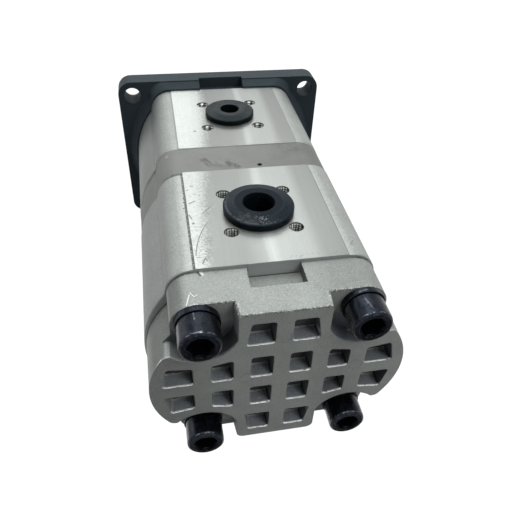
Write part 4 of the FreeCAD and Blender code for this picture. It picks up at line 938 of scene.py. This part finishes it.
def thread_ridge(wall, crest, step, turns, sides=22, run_out=1.2, base=0.86):
    """A helical ridge inside a hole: a triangle of three corners swept round and down.

    Corner k of turn angle t lies at radius r_k and depth step * t / (2 pi) + d_k, where d_k is nought,
    half and all of base * step. r_k is the wall's radius, but for the middle corner, which goes from
    the wall to the crest over the first run_out radians and back over the last.
    """
    angle = np.linspace(0.0, 2 * math.pi * turns, int(sides * turns) + 1)
    grown = np.clip(np.minimum(angle, angle[-1] - angle) / run_out, 0.05, 1.0)
    outer = np.full_like(angle, wall)
    radius = np.stack([outer, wall - (wall - crest) * grown, outer], 1)
    depth = step * angle[:, None] / (2 * math.pi) + np.array([0.0, 0.5, 1.0]) * step * base
    points = np.stack([radius * np.cos(angle)[:, None], radius * np.sin(angle)[:, None], -depth], 2)
    ring = np.arange(len(angle) - 1)[:, None] * 3 + np.arange(3)
    after = np.arange(len(angle) - 1)[:, None] * 3 + (np.arange(3) + 1) % 3
    faces = np.stack([ring, ring + 3, after + 3, after], 2).reshape(-1, 4)
    return points.reshape(-1, 3), faces


def port_threads():
    """The M6 threads round each port, on top and underneath."""
    ridge, sides = thread_ridge(THREAD_WALL, THREAD_CREST, THREAD_STEP, THREAD_TURNS)
    holes = [(way, port + along * SCREW_PITCH, BODY_MIDDLE + across * SCREW_PITCH)
             for way in (1.0, -1.0) for port in (FRONT_PORT, REAR_PORT)
             for across in (-0.5, 0.5) for along in (-0.5, 0.5)]
    points = [ridge * np.array([1.0, way, way]) + np.array([x, y, (PORT_TOP - THREAD_START) * way])
              for way, y, x in holes]
    faces = [sides + len(ridge) * n for n in range(len(holes))]
    points, faces = np.concatenate(points), np.concatenate(faces)
    mesh_piece("port_threads", points, faces, cut_thread(), "casing")


# Camera, fitted to the photograph: how it is turned, and where it stands in metres
CAMERA_LENS = 36.45
CAMERA_SENSOR = 36.0
CAMERA_NEAR = 0.01
CAMERA_PLACE = Matrix((
    (0.98249, 0.0934, -0.16122, -0.05139),
    (-0.18224, 0.6617, -0.72725, -0.30203),
    (0.03878, 0.7439, 0.66717, 0.16810),
    (0.0, 0.0, 0.0, 1.0),
))

# Lamps, in metres and watts: name, place, width, height and power. All point at the same spot.
LAMPS = (
    ("overhead_softbox", (-0.05, 0.10, 1.00), 0.8, 0.8, 9.0),
    ("back_softbox", (0.05, 1.00, 0.78), 0.9, 0.5, 4.2),
    ("left_panel", (-1.00, 0.35, 0.25), 0.7, 0.6, 1.6),
    ("camera_side_fill", (0.50, -0.80, 0.70), 0.5, 0.5, 3.1),
)
LAMP_AIM = (-0.015, -0.09, 0.0)

# Surroundings: a dim sky lights the pump, while the camera and reflections see white. The floor lies
# FLOOR_GAP millimetres below the pump and reaches FLOOR_HALF metres from the middle.
SKY_COLOUR = (0.92, 0.96, 1.0, 1.0)
SKY_STRENGTH = 0.035
FLOOR_GAP = 0.2
FLOOR_HALF = 3.0
FLOOR_GREY = (0.35, 0.35, 0.35, 1.0)
FLOOR_GLOW = 1.19
FLOOR_GLOW_SHARE = 0.86


def photo_camera():
    """The camera that sees the pump as the photograph does."""
    data = bpy.data.cameras.new("photo_camera")
    data.sensor_width = CAMERA_SENSOR
    data.lens = CAMERA_LENS
    data.clip_start = CAMERA_NEAR
    camera = bpy.data.objects.new("photo_camera", data)
    bpy.context.collection.objects.link(camera)
    camera.matrix_world = CAMERA_PLACE
    bpy.context.scene.camera = camera


def lamp(name, place, wide, high, power):
    """A soft rectangular lamp that points from its place to the lamps' common aim."""
    data = bpy.data.lights.new(name, "AREA")
    data.shape = "RECTANGLE"
    data.size = wide
    data.size_y = high
    data.energy = power
    item = bpy.data.objects.new(name, data)
    bpy.context.collection.objects.link(item)
    item.location = place
    back = np.array(place) - np.array(LAMP_AIM)
    back = back / np.linalg.norm(back)
    side = np.cross((0.0, 1.0, 0.0), back)
    side = side / np.linalg.norm(side)
    up = np.cross(back, side)
    item.rotation_mode = "QUATERNION"
    item.rotation_quaternion = Matrix([[side[n], up[n], back[n]] for n in range(3)]).to_quaternion()


def background_share(tree):
    """Is one for rays from the camera, reflections and see-through rays, which see the background white."""
    rays = tree.nodes.new("ShaderNodeLightPath").outputs
    share = rays["Is Camera Ray"]
    for kind in ("Is Glossy Ray", "Is Transmission Ray"):
        both = tree.nodes.new("ShaderNodeMath")
        both.operation = "MAXIMUM"
        tree.links.new(share, both.inputs[0])
        tree.links.new(rays[kind], both.inputs[1])
        share = both.outputs[0]
    return share


def join_shaders(tree, share, one, two, target):
    """Feeds a target with a shader that goes from one to two as share goes from nought to one."""
    join = tree.nodes.new("ShaderNodeMixShader")
    for socket, value in zip(join.inputs, (share, one, two)):
        tree.links.new(value, socket)
    tree.links.new(join.outputs[0], target)


def studio_world():
    """A dim sky that the camera and reflections see as white."""
    world = bpy.data.worlds.new("studio")
    bpy.context.scene.world = world
    world.use_nodes = True
    tree = world.node_tree
    sky = tree.nodes["Background"]
    sky.inputs["Color"].default_value = SKY_COLOUR
    sky.inputs["Strength"].default_value = SKY_STRENGTH
    white = tree.nodes.new("ShaderNodeBackground")
    white.inputs["Color"].default_value = (1.0, 1.0, 1.0, 1.0)
    white.inputs["Strength"].default_value = 1.0
    target = tree.nodes["World Output"].inputs[0]
    join_shaders(tree, background_share(tree), sky.outputs[0], white.outputs[0], target)


def pale_floor():
    """A plain floor that the pump lies on; it stays white to the camera but for the pump's shadow."""
    low = (LOWEST - FLOOR_GAP) * MM
    corners = [(x * FLOOR_HALF, y * FLOOR_HALF, low) for x, y in ((-1, -1), (1, -1), (1, 1), (-1, 1))]
    mesh = bpy.data.meshes.new("floor")
    mesh.from_pydata(corners, [], [(0, 1, 2, 3)])
    material = bpy.data.materials.new("white_floor")
    material.use_nodes = True
    tree = material.node_tree
    tree.nodes.remove(tree.nodes["Principled BSDF"])
    matt = tree.nodes.new("ShaderNodeBsdfDiffuse")
    matt.inputs["Color"].default_value = FLOOR_GREY
    glow = tree.nodes.new("ShaderNodeEmission")
    glow.inputs["Strength"].default_value = FLOOR_GLOW
    weight = tree.nodes.new("ShaderNodeMath")
    weight.operation = "MULTIPLY"
    tree.links.new(background_share(tree), weight.inputs[0])
    weight.inputs[1].default_value = FLOOR_GLOW_SHARE
    target = tree.nodes["Material Output"].inputs[0]
    join_shaders(tree, weight.outputs[0], matt.outputs[0], glow.outputs[0], target)
    mesh.materials.append(material)
    item = bpy.data.objects.new("floor", mesh)
    bpy.context.collection.objects.link(item)


dress_nodes()
port_threads()
photo_camera()
for values in LAMPS:
    lamp(*values)
studio_world()
pale_floor()
bpy.context.scene.view_settings.view_transform = "Standard"
